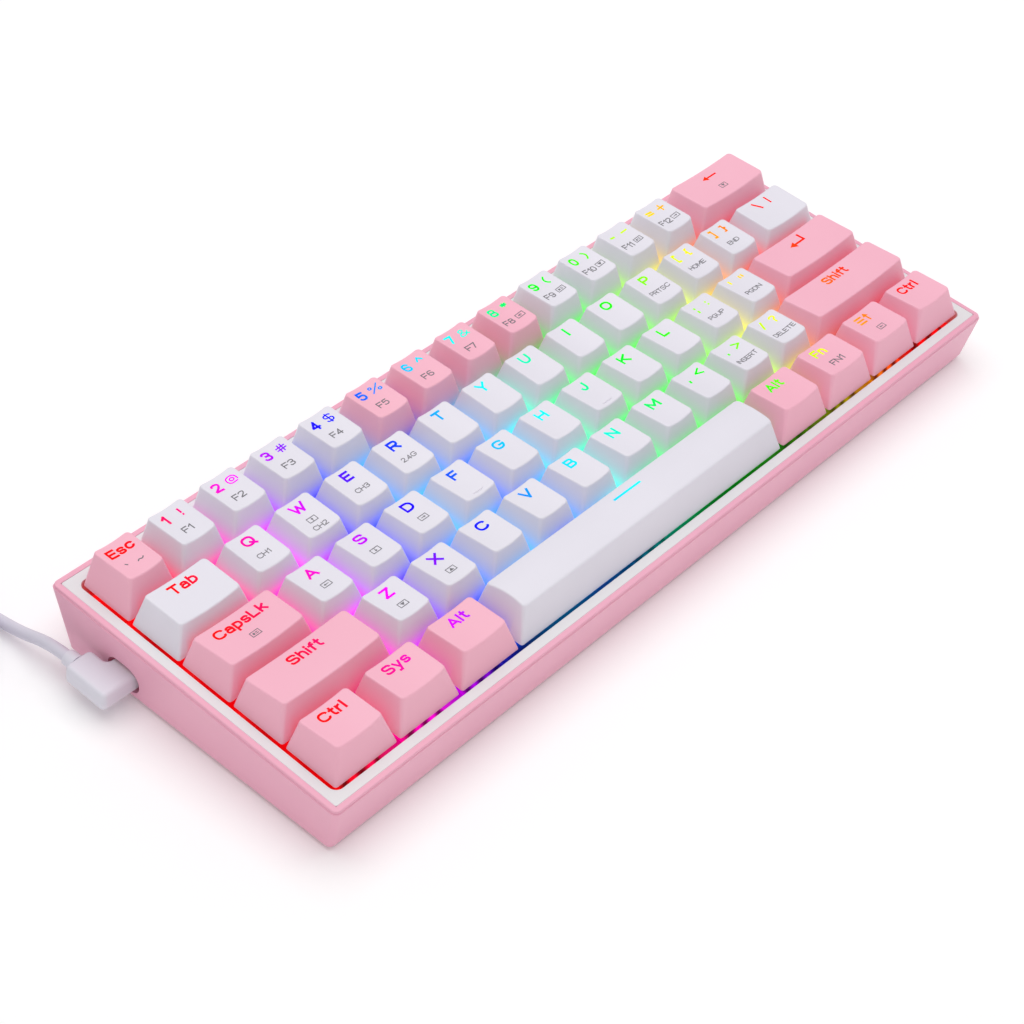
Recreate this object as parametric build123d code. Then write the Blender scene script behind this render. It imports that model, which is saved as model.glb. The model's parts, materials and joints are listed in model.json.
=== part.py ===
"""A 60 per cent mechanical keyboard with 61 keys and a detachable side-entry lead.

Everything but the lead is drawn in the deck frame: x to the right, y to the back, z square to the
switch plate, with the origin on the plate's top face at the middle of the key field.  The deck is
then tilted and set down on its rubber feet, so that the row frame has +Z up, z = 0 on the table
and the keyboard's own box centred on x = y = 0.  All sizes are in millimetres.
"""
from build123d import *
import os
from math import atan, cos, degrees, pi, radians, sqrt, tan

os.makedirs("parts", exist_ok=True)

# ---- key field -----------------------------------------------------------------------------
KEY_PITCH = 19.05            # spacing of neighbouring keys
COLUMNS = 15                 # widest row, in key pitches
ROWS = 5
TRAVEL = 4.0                 # how far a key goes down
CAP_LIFT = 6.0               # underside of a cap above the plate, key up

# ---- keycaps -------------------------------------------------------------------------------
CAP_GAP = 1.0                # gap between two caps at their feet
CAP_WALL = 1.3
CAP_ROOF = 1.5               # thickness under the lowest point of the dish
CAP_FOOT_RADIUS = 0.8
CAP_TOP_RADIUS = 1.5
CAP_SIDE_INSET = 3.0         # how far each side of the top stands in from the foot
CAP_DISH = 0.7               # depth of the finger dish
DISHED_PITCHES = 4           # the dish's cutter, longer than any cap it is used on
CAP_BLANK_EXTRA = 2.5        # the blank stands above the top before the dish is cut
SPACE_CROWN_RADIUS = 24.0    # the space bar's top is rounded the other way
STEM_POST_RADIUS = 2.65
CROSS_LENGTH = 4.1
CROSS_BAR = 1.3
CROSS_HEIGHT = 3.6
CROSS_CLEARANCE = 0.03
SOCKET_EXTRA_DEPTH = 0.2

# ---- switches ------------------------------------------------------------------------------
PLATE_THICKNESS = 1.5
PLATE_CORNER_RADIUS = 1.5
SWITCH_BODY = 13.9
SWITCH_FLANGE = 15.6
SWITCH_FLANGE_THICKNESS = 1.0
SWITCH_DEPTH = 5.0           # plate top to circuit board top
SWITCH_HEIGHT = 5.8          # plate top to the top of the housing
SWITCH_FIT = 0.05            # gap all round between a switch and its plate hole
HOUSING_TOP_WIDTH = 10.8
HOUSING_TOP_DEPTH = 11.6
HOUSING_TOP_SHIFT = 0.7      # the housing's top stands this far behind its middle
HOUSING_SHOULDER = 0.6       # step between the flange and the tapered top
HOUSING_CORNER_RADIUS = 0.8
SLIDER_WIDTH = 6.9
SLIDER_DEPTH = 5.5
SLIDER_SKIRT = 5.5           # height of the slider's block
SLIDER_CLEARANCE = 0.1
WELL_FLOOR = 1.0
SPRING_RADIUS = 2.2
SPRING_WIRE = 0.35
SPRING_BORE_CLEARANCE = 0.1
SLIDER_ROOF = 1.4
GUIDE_POST_RADIUS = 2.0
SWITCH_PIN_RADIUS = 0.6
PIN_REACH = 3.3              # below the circuit board's top
LAMP_WIDTH = 3.2
LAMP_DEPTH = 1.6
LAMP_HEIGHT = 1.2
LAMP_OFFSET = 5.2            # lamp behind the switch's middle
LAMP_SLOT_MARGIN = 0.5

# ---- stabilisers ---------------------------------------------------------------------------
STABILISER_NEAR = 11.94      # stem offset under 2 to 2.75 unit keys
STABILISER_SPACE = 50.0      # stem offset under the space bar
STABILISER_WIDTH = 6.6
STABILISER_DEPTH = 11.0
STABILISER_HEIGHT = 5.0
STABILISER_STEM_WIDTH = 4.5
STABILISER_STEM_BASE = 6.0
STABILISER_WALL = 0.7
WIRE_RADIUS = 0.8
WIRE_SETBACK = 9.2           # wire in front of the stems
STABILISER_FIT = 0.1         # gap all round between a guide and its plate hole
STABILISER_MOUTH = 0.2       # gap round a cap's post where it dips into the guide

# ---- case ----------------------------------------------------------------------------------
RING_WIDTH = 3.08
RING_GAP = 0.5               # gap between the key field's edge and the ring's opening
RING_RISE = 6.3              # ring top above the plate top
RING_CORNER_RADIUS = 2.5
RING_OUTER_RADIUS = 0.6
RIM_WIDTH = 1.7              # pink rim outside the ring
RIM_GAP = 0.05
RIM_LEDGE = 0.3              # the wall stands proud below the rim by this much
RIM_HEIGHT = 0.9             # height of the rim above that ledge
RIM_ROUNDING = 0.4
LEDGE_BEVEL = 0.2            # flat bevel along the ledge's outer edge
EDGE_ROUNDING = 0.2          # on the ring's top
UNDERSIDE_ROUNDING = 1.0
CASE_WALL = 2.4
CASE_FLOOR = 2.0
CASE_CORNER_RADIUS = 1.8
CASE_INNER_RADIUS = 1.5
CASE_DEPTH_FRONT = 10.9      # plate top to the underside at the front edge
TILT = 3.0                   # degrees, the deck's slope towards the hands
SIDE_LEAN = 0.09             # inward lean of the left and right walls, mm per mm
FRONT_LEAN = 0.12
BACK_LEAN = 0.25
PLATE_MARGIN = 2.4           # plate beyond the key field
PLATE_SHELF = 1.9            # width of the tray's shelf under the plate
BOARD_THICKNESS = 1.6
BOARD_CORNER_RADIUS = 1.0
BOARD_INSET = 1.2            # circuit board's edge inside the key field
FOOT_LENGTH = 22.0
FOOT_WIDTH = 8.0
FOOT_THICKNESS = 2.0
FOOT_RECESS = 0.9
FOOT_CORNER_RADIUS = 2.5
FOOT_INSET = 12.0            # pad centre in from the key field's corner

# ---- screws, battery -----------------------------------------------------------------------
SCREW_RADIUS = 1.0
SCREW_LENGTH = 5.5
SCREW_HEAD_RADIUS = 1.6
SCREW_HEAD_HEIGHT = 1.1
SCREW_CLEARANCE = 0.15
THREAD_CLEARANCE = 0.05
CLEAR_DEPTH = 1.0            # a hole goes on past what it holds by this much
BOSS_RADIUS = 2.0
BOSS_CLEARANCE = 0.3
BATTERY_LENGTH = 60.0
BATTERY_DEPTH = 34.0
BATTERY_THICKNESS = 3.0
BATTERY_CORNER_RADIUS = 2.0
BATTERY_X = 55.0
BATTERY_Y = 24.0

# ---- port and lead -------------------------------------------------------------------------
PORT_Y = 25.45               # port's middle behind the field's middle
PORT_SHELL_WIDTH = 8.94
PORT_SHELL_HEIGHT = 3.26
PORT_SHELL_LENGTH = 7.0
PORT_SHELL_WALL = 0.3
PORT_SETBACK = 0.4           # port's mouth inside the wall's inner face
PORT_BACK_WALL = 0.5
OVAL_ROUNDNESS = 0.99        # corner radius of the port's ovals over half their height
SLOT_WIDTH = 12.1
SLOT_HEIGHT = 9.6
SLOT_RADIUS = 4.4
SLOT_REACH = 5.0             # how far the slot's cutter starts outside the wall
TONGUE_WIDTH = 8.25
TONGUE_HEIGHT = 2.4
TONGUE_LENGTH = 6.2
PLUG_THICKNESS = 6.2
PLUG_NECK_WIDTH = 9.0
PLUG_ARM_WIDTH = 9.2
PLUG_STANDOFF = 11.1         # outer face of the plug from the case wall
PLUG_ARM_END = 11.05         # how far the arm reaches behind the port's middle
PLUG_ROUNDING = 1.4
PLUG_CORNER_RADIUS = 1.7
COLLAR_RADIUS = 2.6
COLLAR_END_RADIUS = 2.35
COLLAR_LENGTH = 3.5
CABLE_RADIUS = 1.8
COIL_CENTRE = (-180.0, 84.0)
COIL_OUTER_TURN = 25.0       # centre line of the widest turn
COIL_INNER_TURN = 14.6
COIL_LAYERS = 4
COIL_TIE = 0.5               # thickness of the strap round the bundle
A_PLUG_WIDTH = 16.0
A_PLUG_HEIGHT = 8.0
A_PLUG_LENGTH = 28.0
A_SHELL_WIDTH = 12.0
A_SHELL_HEIGHT = 4.5
A_SHELL_LENGTH = 11.8
A_SHELL_WALL = 0.3
A_SHELL_BACK = 0.5           # wall at the shell's closed end
A_PLUG_ROUNDING = 2.0

# ---- sizes that follow ---------------------------------------------------------------------
FIELD_X = COLUMNS * KEY_PITCH / 2
FIELD_Y = ROWS * KEY_PITCH / 2
RING_X = FIELD_X + RING_GAP + RING_WIDTH
RING_Y = FIELD_Y + RING_GAP + RING_WIDTH
RIM_X = RING_X + RIM_GAP + RIM_WIDTH
RIM_Y = RING_Y + RIM_GAP + RIM_WIDTH
WALL_X = RIM_X + RIM_LEDGE
WALL_Y = RIM_Y + RIM_LEDGE
LEDGE_Z = RING_RISE - RIM_HEIGHT
BOARD_TOP = -SWITCH_DEPTH
BOARD_BOTTOM = BOARD_TOP - BOARD_THICKNESS
SLOPE = tan(radians(TILT))
PORT_Z = BOARD_BOTTOM - PORT_SHELL_HEIGHT / 2
CABLE_LAYER = 2 * CABLE_RADIUS


class Row:
    """One row's cap profile: how the top's front and back edges stand over the foot."""

    def __init__(self, front_inset, front_height, back_inset, back_height):
        self.front_inset = front_inset
        self.front_height = front_height
        self.back_inset = back_inset
        self.back_height = back_height

    def reach(self, height):
        """y of the front and back faces of a cap at a height above its foot."""
        foot = (KEY_PITCH - CAP_GAP) / 2
        front = -foot + self.front_inset * height / self.front_height
        back = foot - self.back_inset * height / self.back_height
        return front, back


NUMBER_ROW = Row(3.2, 11.8, 0.5, 11.1)
TOP_ROW = Row(2.9, 9.8, 1.1, 9.7)
HOME_ROW = Row(3.1, 9.9, 0.7, 8.6)
BOTTOM_ROW = Row(3.4, 10.7, 0.8, 9.1)
THUMB_ROW = Row(3.6, 10.4, 0.95, 9.3)

# Each row from the left: (name, width in key pitches).  Keys that share a name share a node.
LAYOUT = [
    (NUMBER_ROW, [("key_escape", 1)] + [("key_group_digits_symbols", 1)] * 12 + [("key_backspace", 2)]),
    (TOP_ROW, [("key_tab", 1.5)] + [("key_" + c, 1) for c in "qwertyuiop"]
     + [("key_group_digits_symbols", 1)] * 2 + [("key_backslash", 1.5)]),
    (HOME_ROW, [("key_caps_lock", 1.75)] + [("key_" + c, 1) for c in "asdfghjkl"]
     + [("key_group_digits_symbols", 1)] * 2 + [("key_enter", 2.25)]),
    (BOTTOM_ROW, [("key_left_shift", 2.25)] + [("key_" + c, 1) for c in "zxcvbnm"]
     + [("key_group_digits_symbols", 1)] * 3 + [("key_right_shift", 2.75)]),
    (THUMB_ROW, [("key_left_control", 1.25), ("key_system", 1.25), ("key_left_alt", 1.25),
                 ("key_space", 6.25), ("key_right_alt", 1.25), ("key_function", 1.25), ("key_menu", 1.25),
                 ("key_right_control", 1.25)]),
]


def stabiliser_offset(units):
    """How far each stabiliser stem stands from the middle of a wide key, or 0 for none."""
    if units < 2:
        return 0
    return STABILISER_SPACE if units > 3 else STABILISER_NEAR


def keys():
    """Every key as (node name, row profile, width in pitches, x, y of its middle)."""
    for index, (profile, row) in enumerate(LAYOUT):
        left = -FIELD_X
        y = FIELD_Y - (index + 0.5) * KEY_PITCH
        for name, units in row:
            yield name, profile, units, left + units * KEY_PITCH / 2, y
            left += units * KEY_PITCH


KEYS = list(keys())
STABILISED = [(x, y, stabiliser_offset(units)) for _, _, units, x, y in KEYS if units >= 2]


def block(x0, x1, y0, y1, z0, z1):
    """A plain box between two corners."""
    return Pos((x0 + x1) / 2, (y0 + y1) / 2, (z0 + z1) / 2) * Box(x1 - x0, y1 - y0, z1 - z0)


def post(radius, z0, z1, x=0.0, y=0.0):
    """An upright cylinder."""
    return Pos(x, y, (z0 + z1) / 2) * Cylinder(radius, z1 - z0)


def rounded(x0, x1, y0, y1, z, radius):
    """A flat rectangle with round corners at height z."""
    return Pos((x0 + x1) / 2, (y0 + y1) / 2, z) * RectangleRounded(x1 - x0, y1 - y0, radius)


def taper(low, high):
    """The solid between two flat faces, with straight sides."""
    return loft(Sketch() + [low, high], ruled=True)


# ---- caps and sliders ----------------------------------------------------------------------
def cap_section(profile, half_width, height, inset, radius):
    """The cap's outline at a height above its foot, moved in by inset."""
    front, back = profile.reach(height)
    side = half_width - CAP_SIDE_INSET * height / ((profile.front_height + profile.back_height) / 2)
    return rounded(-side + inset, side - inset, front + inset, back - inset, height, radius)


def cross(height, grow, z):
    """The stem's plus shape, grown all round by a clearance."""
    long_bar = CROSS_LENGTH + 2 * grow
    short_bar = CROSS_BAR + 2 * grow
    middle = Pos(0, 0, z + height / 2)
    return middle * Box(long_bar, short_bar, height) + middle * Box(short_bar, long_bar, height)


def cap(profile, units):
    """A hollow cap, its foot at z = 0, with a cross socket for each stem."""
    half_width = (units * KEY_PITCH - CAP_GAP) / 2
    high = max(profile.front_height, profile.back_height) + CAP_BLANK_EXTRA
    body = taper(
        cap_section(profile, half_width, 0, 0, CAP_FOOT_RADIUS),
        cap_section(profile, half_width, high, 0, CAP_TOP_RADIUS),
    )
    front, _ = profile.reach(profile.front_height)
    _, back = profile.reach(profile.back_height)
    lean = degrees(atan((profile.back_height - profile.front_height) / (back - front)))
    middle_y = (front + back) / 2
    middle_z = (profile.front_height + profile.back_height) / 2
    top_half = half_width - CAP_SIDE_INSET
    if units > 3:
        half_chord = (back - front) / 2
        drop = sqrt(SPACE_CROWN_RADIUS ** 2 - half_chord ** 2)
        crown = Rot(X=lean) * Rot(Y=90) * Cylinder(SPACE_CROWN_RADIUS, (units + 1) * KEY_PITCH)
        body = body & (Pos(0, middle_y, middle_z - drop) * crown)
        roof = min(profile.front_height, profile.back_height) - CAP_ROOF
    else:
        radius = (top_half ** 2 + CAP_DISH ** 2) / (2 * CAP_DISH)
        rise = radius - CAP_DISH
        dish = Rot(X=lean) * Pos(0, 0, rise) * Rot(X=90) * Cylinder(radius, DISHED_PITCHES * KEY_PITCH)
        body = body - Pos(0, middle_y, middle_z) * dish
        roof = profile.back_height - CAP_DISH - CAP_ROOF
    hollow = taper(
        cap_section(profile, half_width, 0, CAP_WALL, CAP_FOOT_RADIUS / 2),
        cap_section(profile, half_width, roof, CAP_WALL, CAP_FOOT_RADIUS / 2),
    )
    body = body - hollow
    offset = stabiliser_offset(units)
    for x in sorted({-offset, 0, offset}):
        body = body + post(STEM_POST_RADIUS, 0, roof + CAP_ROOF / 2, x)
        body = body - Pos(x, 0, 0) * cross(CROSS_HEIGHT + SOCKET_EXTRA_DEPTH, CROSS_CLEARANCE, 0)
    return body


def slider():
    """The switch's moving stem: a hollow block with the cross on top, in deck heights."""
    low = CAP_LIFT - SLIDER_SKIRT
    body = block(-SLIDER_WIDTH / 2, SLIDER_WIDTH / 2, -SLIDER_DEPTH / 2, SLIDER_DEPTH / 2, low, CAP_LIFT)
    body = body - post(SPRING_RADIUS + SPRING_BORE_CLEARANCE, low, CAP_LIFT - SLIDER_ROOF)
    return body + cross(CROSS_HEIGHT, 0, CAP_LIFT)


def stabiliser_stem():
    """The small stem that guides one end of a wide cap."""
    half = STABILISER_STEM_WIDTH / 2
    body = block(-half, half, -half, half, CAP_LIFT - STABILISER_STEM_BASE, CAP_LIFT)
    return body + cross(CROSS_HEIGHT, 0, CAP_LIFT)


# ---- what stands on the board ----------------------------------------------------------------
def switch_housing():
    """A plate-mounted switch housing with its slider well, lamp slot, guide post and two pins."""
    half = SWITCH_BODY / 2
    flange = SWITCH_FLANGE / 2
    shoulder = flange - HOUSING_SHOULDER
    top_x = HOUSING_TOP_WIDTH / 2
    top_y = HOUSING_TOP_DEPTH / 2
    body = block(-half, half, -half, half, BOARD_TOP, 0)
    body = body + block(-flange, flange, -flange, flange, 0, SWITCH_FLANGE_THICKNESS)
    body = body + taper(
        rounded(-shoulder, shoulder, -shoulder, shoulder, SWITCH_FLANGE_THICKNESS, HOUSING_CORNER_RADIUS),
        rounded(-top_x, top_x, HOUSING_TOP_SHIFT - top_y, HOUSING_TOP_SHIFT + top_y, SWITCH_HEIGHT,
                HOUSING_CORNER_RADIUS),
    )
    well_x = SLIDER_WIDTH / 2 + SLIDER_CLEARANCE
    well_y = SLIDER_DEPTH / 2 + SLIDER_CLEARANCE
    body = body - block(-well_x, well_x, -well_y, well_y, BOARD_TOP + WELL_FLOOR, SWITCH_HEIGHT)
    slot_x = LAMP_WIDTH / 2 + LAMP_SLOT_MARGIN
    slot_y = LAMP_DEPTH / 2 + LAMP_SLOT_MARGIN
    body = body - block(-slot_x, slot_x, LAMP_OFFSET - slot_y, LAMP_OFFSET + slot_y, BOARD_TOP, SWITCH_HEIGHT)
    body = body + post(GUIDE_POST_RADIUS, BOARD_TOP - PIN_REACH, BOARD_TOP)
    for x, y in SWITCH_PINS:
        body = body + post(SWITCH_PIN_RADIUS, BOARD_TOP - PIN_REACH, BOARD_TOP, x, y)
    return body


SWITCH_PINS = [(-2.54, -5.08), (3.81, -2.54)]


def spring():
    """The switch spring as a plain sleeve from the well's floor to the slider's roof."""
    low = BOARD_TOP + WELL_FLOOR
    high = CAP_LIFT - SLIDER_ROOF
    return post(SPRING_RADIUS, low, high) - post(SPRING_RADIUS - SPRING_WIRE, low, high)


def lamp():
    """A lamp soldered on the board behind the switch's middle."""
    half_x = LAMP_WIDTH / 2
    y0 = LAMP_OFFSET - LAMP_DEPTH / 2
    return block(-half_x, half_x, y0, y0 + LAMP_DEPTH, BOARD_TOP, BOARD_TOP + LAMP_HEIGHT)


def stabiliser_housing():
    """An open-topped guide for one stabiliser stem, standing on the board."""
    half_x = STABILISER_WIDTH / 2
    back = STABILISER_DEPTH / 2
    stem = STABILISER_STEM_WIDTH / 2 + SLIDER_CLEARANCE
    body = block(-half_x, half_x, -back, back, BOARD_TOP, STABILISER_HEIGHT)
    body = body - block(-stem, stem, -stem, stem, BOARD_TOP + STABILISER_WALL, STABILISER_HEIGHT)
    deepest = CAP_LIFT - TRAVEL - STABILISER_MOUTH
    return body - post(STEM_POST_RADIUS + STABILISER_MOUTH, deepest, STABILISER_HEIGHT)


def stabiliser_wire(offset):
    """The bent wire that ties the two ends of a wide key together."""
    z = BOARD_TOP / 2 - PLATE_THICKNESS / 2
    tip_y = -STABILISER_DEPTH / 2
    bar = Pos(0, -WIRE_SETBACK, z) * Rot(Y=90) * Cylinder(WIRE_RADIUS, 2 * offset + 2 * WIRE_RADIUS)
    body = bar
    arm = -WIRE_SETBACK, tip_y
    for side in (-1, 1):
        leg = Rot(X=90) * Cylinder(WIRE_RADIUS, arm[1] - arm[0])
        body = body + Pos(side * offset, (arm[0] + arm[1]) / 2, z) * leg
    return body


# ---- case --------------------------------------------------------------------------------------
def wall_section(z, inset, radius):
    """The case's outline at a deck height, moved in by inset: every wall leans its own way."""
    drop = LEDGE_Z - z
    x = WALL_X - SIDE_LEAN * drop - inset
    front = -WALL_Y + FRONT_LEAN * drop + inset
    back = WALL_Y - BACK_LEAN * drop - inset
    return rounded(-x, x, front, back, z, radius)


def below_table(lift):
    """Everything under a plane parallel to the table, lift above the case's underside."""
    front_foot = -WALL_Y + FRONT_LEAN * (LEDGE_Z + CASE_DEPTH_FRONT)
    slab = Pos(0, 0, -WALL_X) * Box(4 * WALL_X, 8 * WALL_Y, 2 * WALL_X)
    return Pos(0, front_foot, -CASE_DEPTH_FRONT + lift / cos(radians(TILT))) * Rot(X=-TILT) * slab


def floor_z(y):
    """Deck height of the tray's inner floor at y."""
    front_foot = -WALL_Y + FRONT_LEAN * (LEDGE_Z + CASE_DEPTH_FRONT)
    return -CASE_DEPTH_FRONT - SLOPE * (y - front_foot) + CASE_FLOOR / cos(radians(TILT))


DEEP = -CASE_DEPTH_FRONT - SLOPE * 2 * WALL_Y - CASE_FLOOR
FOOT_X = FIELD_X - FOOT_INSET - FOOT_LENGTH / 2
FOOT_Y = FIELD_Y - FOOT_INSET
FEET = [(-FOOT_X, -FOOT_Y), (FOOT_X, -FOOT_Y), (-FOOT_X, FOOT_Y), (FOOT_X, FOOT_Y)]
BOSS_X = [-5.25 * KEY_PITCH, 0.25 * KEY_PITCH, 5.0 * KEY_PITCH]
SCREWS = [(x, y) for x in BOSS_X for y in (-0.5 * KEY_PITCH, 1.5 * KEY_PITCH)]


def feet(grow, low, thickness):
    """The four rounded pads, grown by a clearance, reaching low under the case's underside."""
    outline = RectangleRounded(FOOT_LENGTH + 2 * grow, FOOT_WIDTH + 2 * grow, FOOT_CORNER_RADIUS)
    pads = []
    for x, y in FEET:
        under = floor_z(y) - CASE_FLOOR / cos(radians(TILT))
        pads.append(Pos(x, y, under) * Rot(X=-TILT) * Pos(0, 0, -low) * extrude(outline, thickness))
    return pads


def slot_cutter():
    """The oval way in for the lead's plug, through the left wall."""
    oval = RectangleRounded(SLOT_WIDTH, SLOT_HEIGHT, SLOT_RADIUS)
    through = SLOT_REACH + PORT_SHELL_LENGTH + CASE_WALL
    return Pos(-WALL_X - SLOT_REACH, PORT_Y, PORT_Z) * extrude(Plane.YZ * oval, through)


def case_tray():
    """The pink lower case: leaning walls, rim, shelf for the plate, floor, bosses and slot."""
    shoulder = wall_section(LEDGE_Z - LEDGE_BEVEL, 0, CASE_CORNER_RADIUS)
    body = taper(shoulder, wall_section(DEEP, 0, CASE_CORNER_RADIUS))
    body = body - below_table(0)
    underside = body.faces().sort_by(Axis.Z)[0]
    body = fillet(underside.edges(), UNDERSIDE_ROUNDING)
    ledge = wall_section(LEDGE_Z, LEDGE_BEVEL, CASE_CORNER_RADIUS - LEDGE_BEVEL)
    body = body + taper(ledge, shoulder)
    rim = extrude(rounded(-RIM_X, RIM_X, -RIM_Y, RIM_Y, LEDGE_Z, CASE_CORNER_RADIUS), RIM_HEIGHT)
    rim_top = rim.faces().sort_by(Axis.Z)[-1]
    body = body + fillet(rim_top.edges(), RIM_ROUNDING)
    pocket_x = RING_X + RIM_GAP
    pocket_y = RING_Y + RIM_GAP
    shelf = -PLATE_THICKNESS
    body = body - block(-pocket_x, pocket_x, -pocket_y, pocket_y, shelf, RING_RISE + RIM_HEIGHT)
    inner_x = FIELD_X + PLATE_MARGIN - PLATE_SHELF
    inner_y = FIELD_Y + PLATE_MARGIN - PLATE_SHELF
    well = taper(
        wall_section(LEDGE_Z, CASE_WALL, CASE_INNER_RADIUS), wall_section(DEEP, CASE_WALL, CASE_INNER_RADIUS),
    )
    well = well & block(-inner_x, inner_x, -inner_y, inner_y, DEEP, shelf)
    body = body - (well - below_table(CASE_FLOOR))
    bosses = []
    for x, y in SCREWS:
        bosses.append(post(BOSS_RADIUS, floor_z(y) - CASE_FLOOR / 2, shelf, x, y))
    body = body + bosses
    pilots = []
    for x, y in SCREWS:
        pilots.append(post(SCREW_RADIUS + THREAD_CLEARANCE, -SCREW_LENGTH - CLEAR_DEPTH, shelf, x, y))
    cuts = pilots + feet(THREAD_CLEARANCE, 0, FOOT_RECESS) + [slot_cutter()]
    return body - cuts


def top_frame():
    """The white ring round the keys, on the plate's margin."""
    body = extrude(rounded(-RING_X, RING_X, -RING_Y, RING_Y, 0, RING_OUTER_RADIUS), RING_RISE)
    opening_x = FIELD_X + RING_GAP
    opening_y = FIELD_Y + RING_GAP
    hole = rounded(-opening_x, opening_x, -opening_y, opening_y, 0, RING_CORNER_RADIUS)
    body = body - extrude(hole, RING_RISE)
    return fillet(body.faces().sort_by(Axis.Z)[-1].edges(), EDGE_ROUNDING)


def switch_plate():
    """The steel plate: a square hole for each switch, one for each stabiliser, screw holes."""
    x = FIELD_X + PLATE_MARGIN
    y = FIELD_Y + PLATE_MARGIN
    body = extrude(rounded(-x, x, -y, y, -PLATE_THICKNESS, PLATE_CORNER_RADIUS), PLATE_THICKNESS)
    square = SWITCH_BODY + 2 * SWITCH_FIT
    holes = [Pos(x, y, 0) * Box(square, square, 4 * PLATE_THICKNESS) for _, _, _, x, y in KEYS]
    guide_x = STABILISER_WIDTH + 2 * STABILISER_FIT
    guide_y = STABILISER_DEPTH + 2 * STABILISER_FIT
    for x, y, offset in STABILISED:
        for side in (-offset, offset):
            holes.append(Pos(x + side, y, 0) * Box(guide_x, guide_y, 4 * PLATE_THICKNESS))
    for x, y in SCREWS:
        holes.append(post(SCREW_RADIUS + SCREW_CLEARANCE, -2 * PLATE_THICKNESS, PLATE_THICKNESS, x, y))
    return body - holes


def circuit_board():
    """The board under the switches, with its post, pin and boss holes."""
    x = FIELD_X - BOARD_INSET
    y = FIELD_Y - BOARD_INSET
    body = extrude(rounded(-x, x, -y, y, BOARD_BOTTOM, BOARD_CORNER_RADIUS), BOARD_THICKNESS)
    low = BOARD_BOTTOM - CLEAR_DEPTH
    high = BOARD_TOP + CLEAR_DEPTH
    holes = []
    for _, _, _, x, y in KEYS:
        holes.append(post(GUIDE_POST_RADIUS + SWITCH_FIT, low, high, x, y))
        for px, py in SWITCH_PINS:
            holes.append(post(SWITCH_PIN_RADIUS + SWITCH_FIT, low, high, x + px, y + py))
    for x, y in SCREWS:
        holes.append(post(BOSS_RADIUS + BOSS_CLEARANCE, low, high, x, y))
    return body - holes


def screw():
    """A small pan-head screw through the plate into a boss, head on the plate."""
    return post(SCREW_HEAD_RADIUS, 0, SCREW_HEAD_HEIGHT) + post(SCREW_RADIUS, -SCREW_LENGTH, 0)


def battery():
    """The flat cell that lies on the tray's floor under the board."""
    outline = RectangleRounded(BATTERY_LENGTH, BATTERY_DEPTH, BATTERY_CORNER_RADIUS)
    pouch = extrude(outline, BATTERY_THICKNESS)
    return Pos(BATTERY_X, BATTERY_Y, floor_z(BATTERY_Y)) * Rot(X=-TILT) * pouch


# ---- port and lead -----------------------------------------------------------------------------
def port_mouth():
    """x of the port's open end, just inside the left wall."""
    return -WALL_X + SIDE_LEAN * (LEDGE_Z - PORT_Z) + CASE_WALL + PORT_SETBACK


def stadium(width, height, length, x):
    """A bar along +x with a flat oval section, starting at x."""
    oval = RectangleRounded(width, height, OVAL_ROUNDNESS * height / 2)
    return Pos(x, PORT_Y, PORT_Z) * extrude(Plane.YZ * oval, length)


def usb_socket():
    """The metal shell of the port, hung under the board's left edge."""
    mouth = port_mouth()
    body = stadium(PORT_SHELL_WIDTH, PORT_SHELL_HEIGHT, PORT_SHELL_LENGTH, mouth)
    bore_width = PORT_SHELL_WIDTH - 2 * PORT_SHELL_WALL
    bore_height = PORT_SHELL_HEIGHT - 2 * PORT_SHELL_WALL
    return body - stadium(bore_width, bore_height, PORT_SHELL_LENGTH - PORT_BACK_WALL, mouth)


def usb_c_plug():
    """The right-angle plug: an L-shaped moulding with its round collar, and its metal tongue."""
    outer = -WALL_X + SIDE_LEAN * (LEDGE_Z - PORT_Z) - PLUG_STANDOFF
    shoulder = port_mouth()
    half_neck = PLUG_NECK_WIDTH / 2
    outline = Polyline(
        (outer, -half_neck), (shoulder, -half_neck), (shoulder, half_neck),
        (outer + PLUG_ARM_WIDTH, half_neck), (outer + PLUG_ARM_WIDTH, PLUG_ARM_END),
        (outer, PLUG_ARM_END), close=True,
    )
    elbow = extrude(make_face(outline), PLUG_THICKNESS)
    elbow = Pos(0, PORT_Y, PORT_Z - PLUG_THICKNESS / 2) * elbow
    uprights = elbow.edges().filter_by(Axis.Z).sort_by(Axis.X)
    elbow = fillet(uprights, PLUG_CORNER_RADIUS)
    lips = elbow.faces().filter_by(Axis.Z).edges()
    elbow = fillet(lips, PLUG_ROUNDING)
    start = PORT_Y + PLUG_ARM_END
    collar = Pos(outer + PLUG_ARM_WIDTH / 2, start, PORT_Z) * Rot(X=-90) * Pos(0, 0, COLLAR_LENGTH / 2)
    moulding = elbow + collar * Cone(COLLAR_RADIUS, COLLAR_END_RADIUS, COLLAR_LENGTH)
    tongue = stadium(TONGUE_WIDTH, TONGUE_HEIGHT, TONGUE_LENGTH, shoulder)
    return [moulding, tongue]


# Where the lead runs, as it leaves the collar, drops to the table and goes to its coil.
LEAD_OUT = [(-154.1, 47.4, 9.1), (-154.2, 59.6, 4.2), (-154.5, 74.0, 1.9), (-155.2, 84.5, 2.3)]
# Where it leaves the coil's top and comes down to the far plug.
LEAD_TAIL = [(-180.0, 109.0, 13.1), (-192.0, 108.4, 12.7), (-203.5, 104.5, 9.8), (-212.5, 97.0, 6.0),
             (-217.0, 86.5, 4.0), (-217.0, 76.0, 4.0)]


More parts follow.
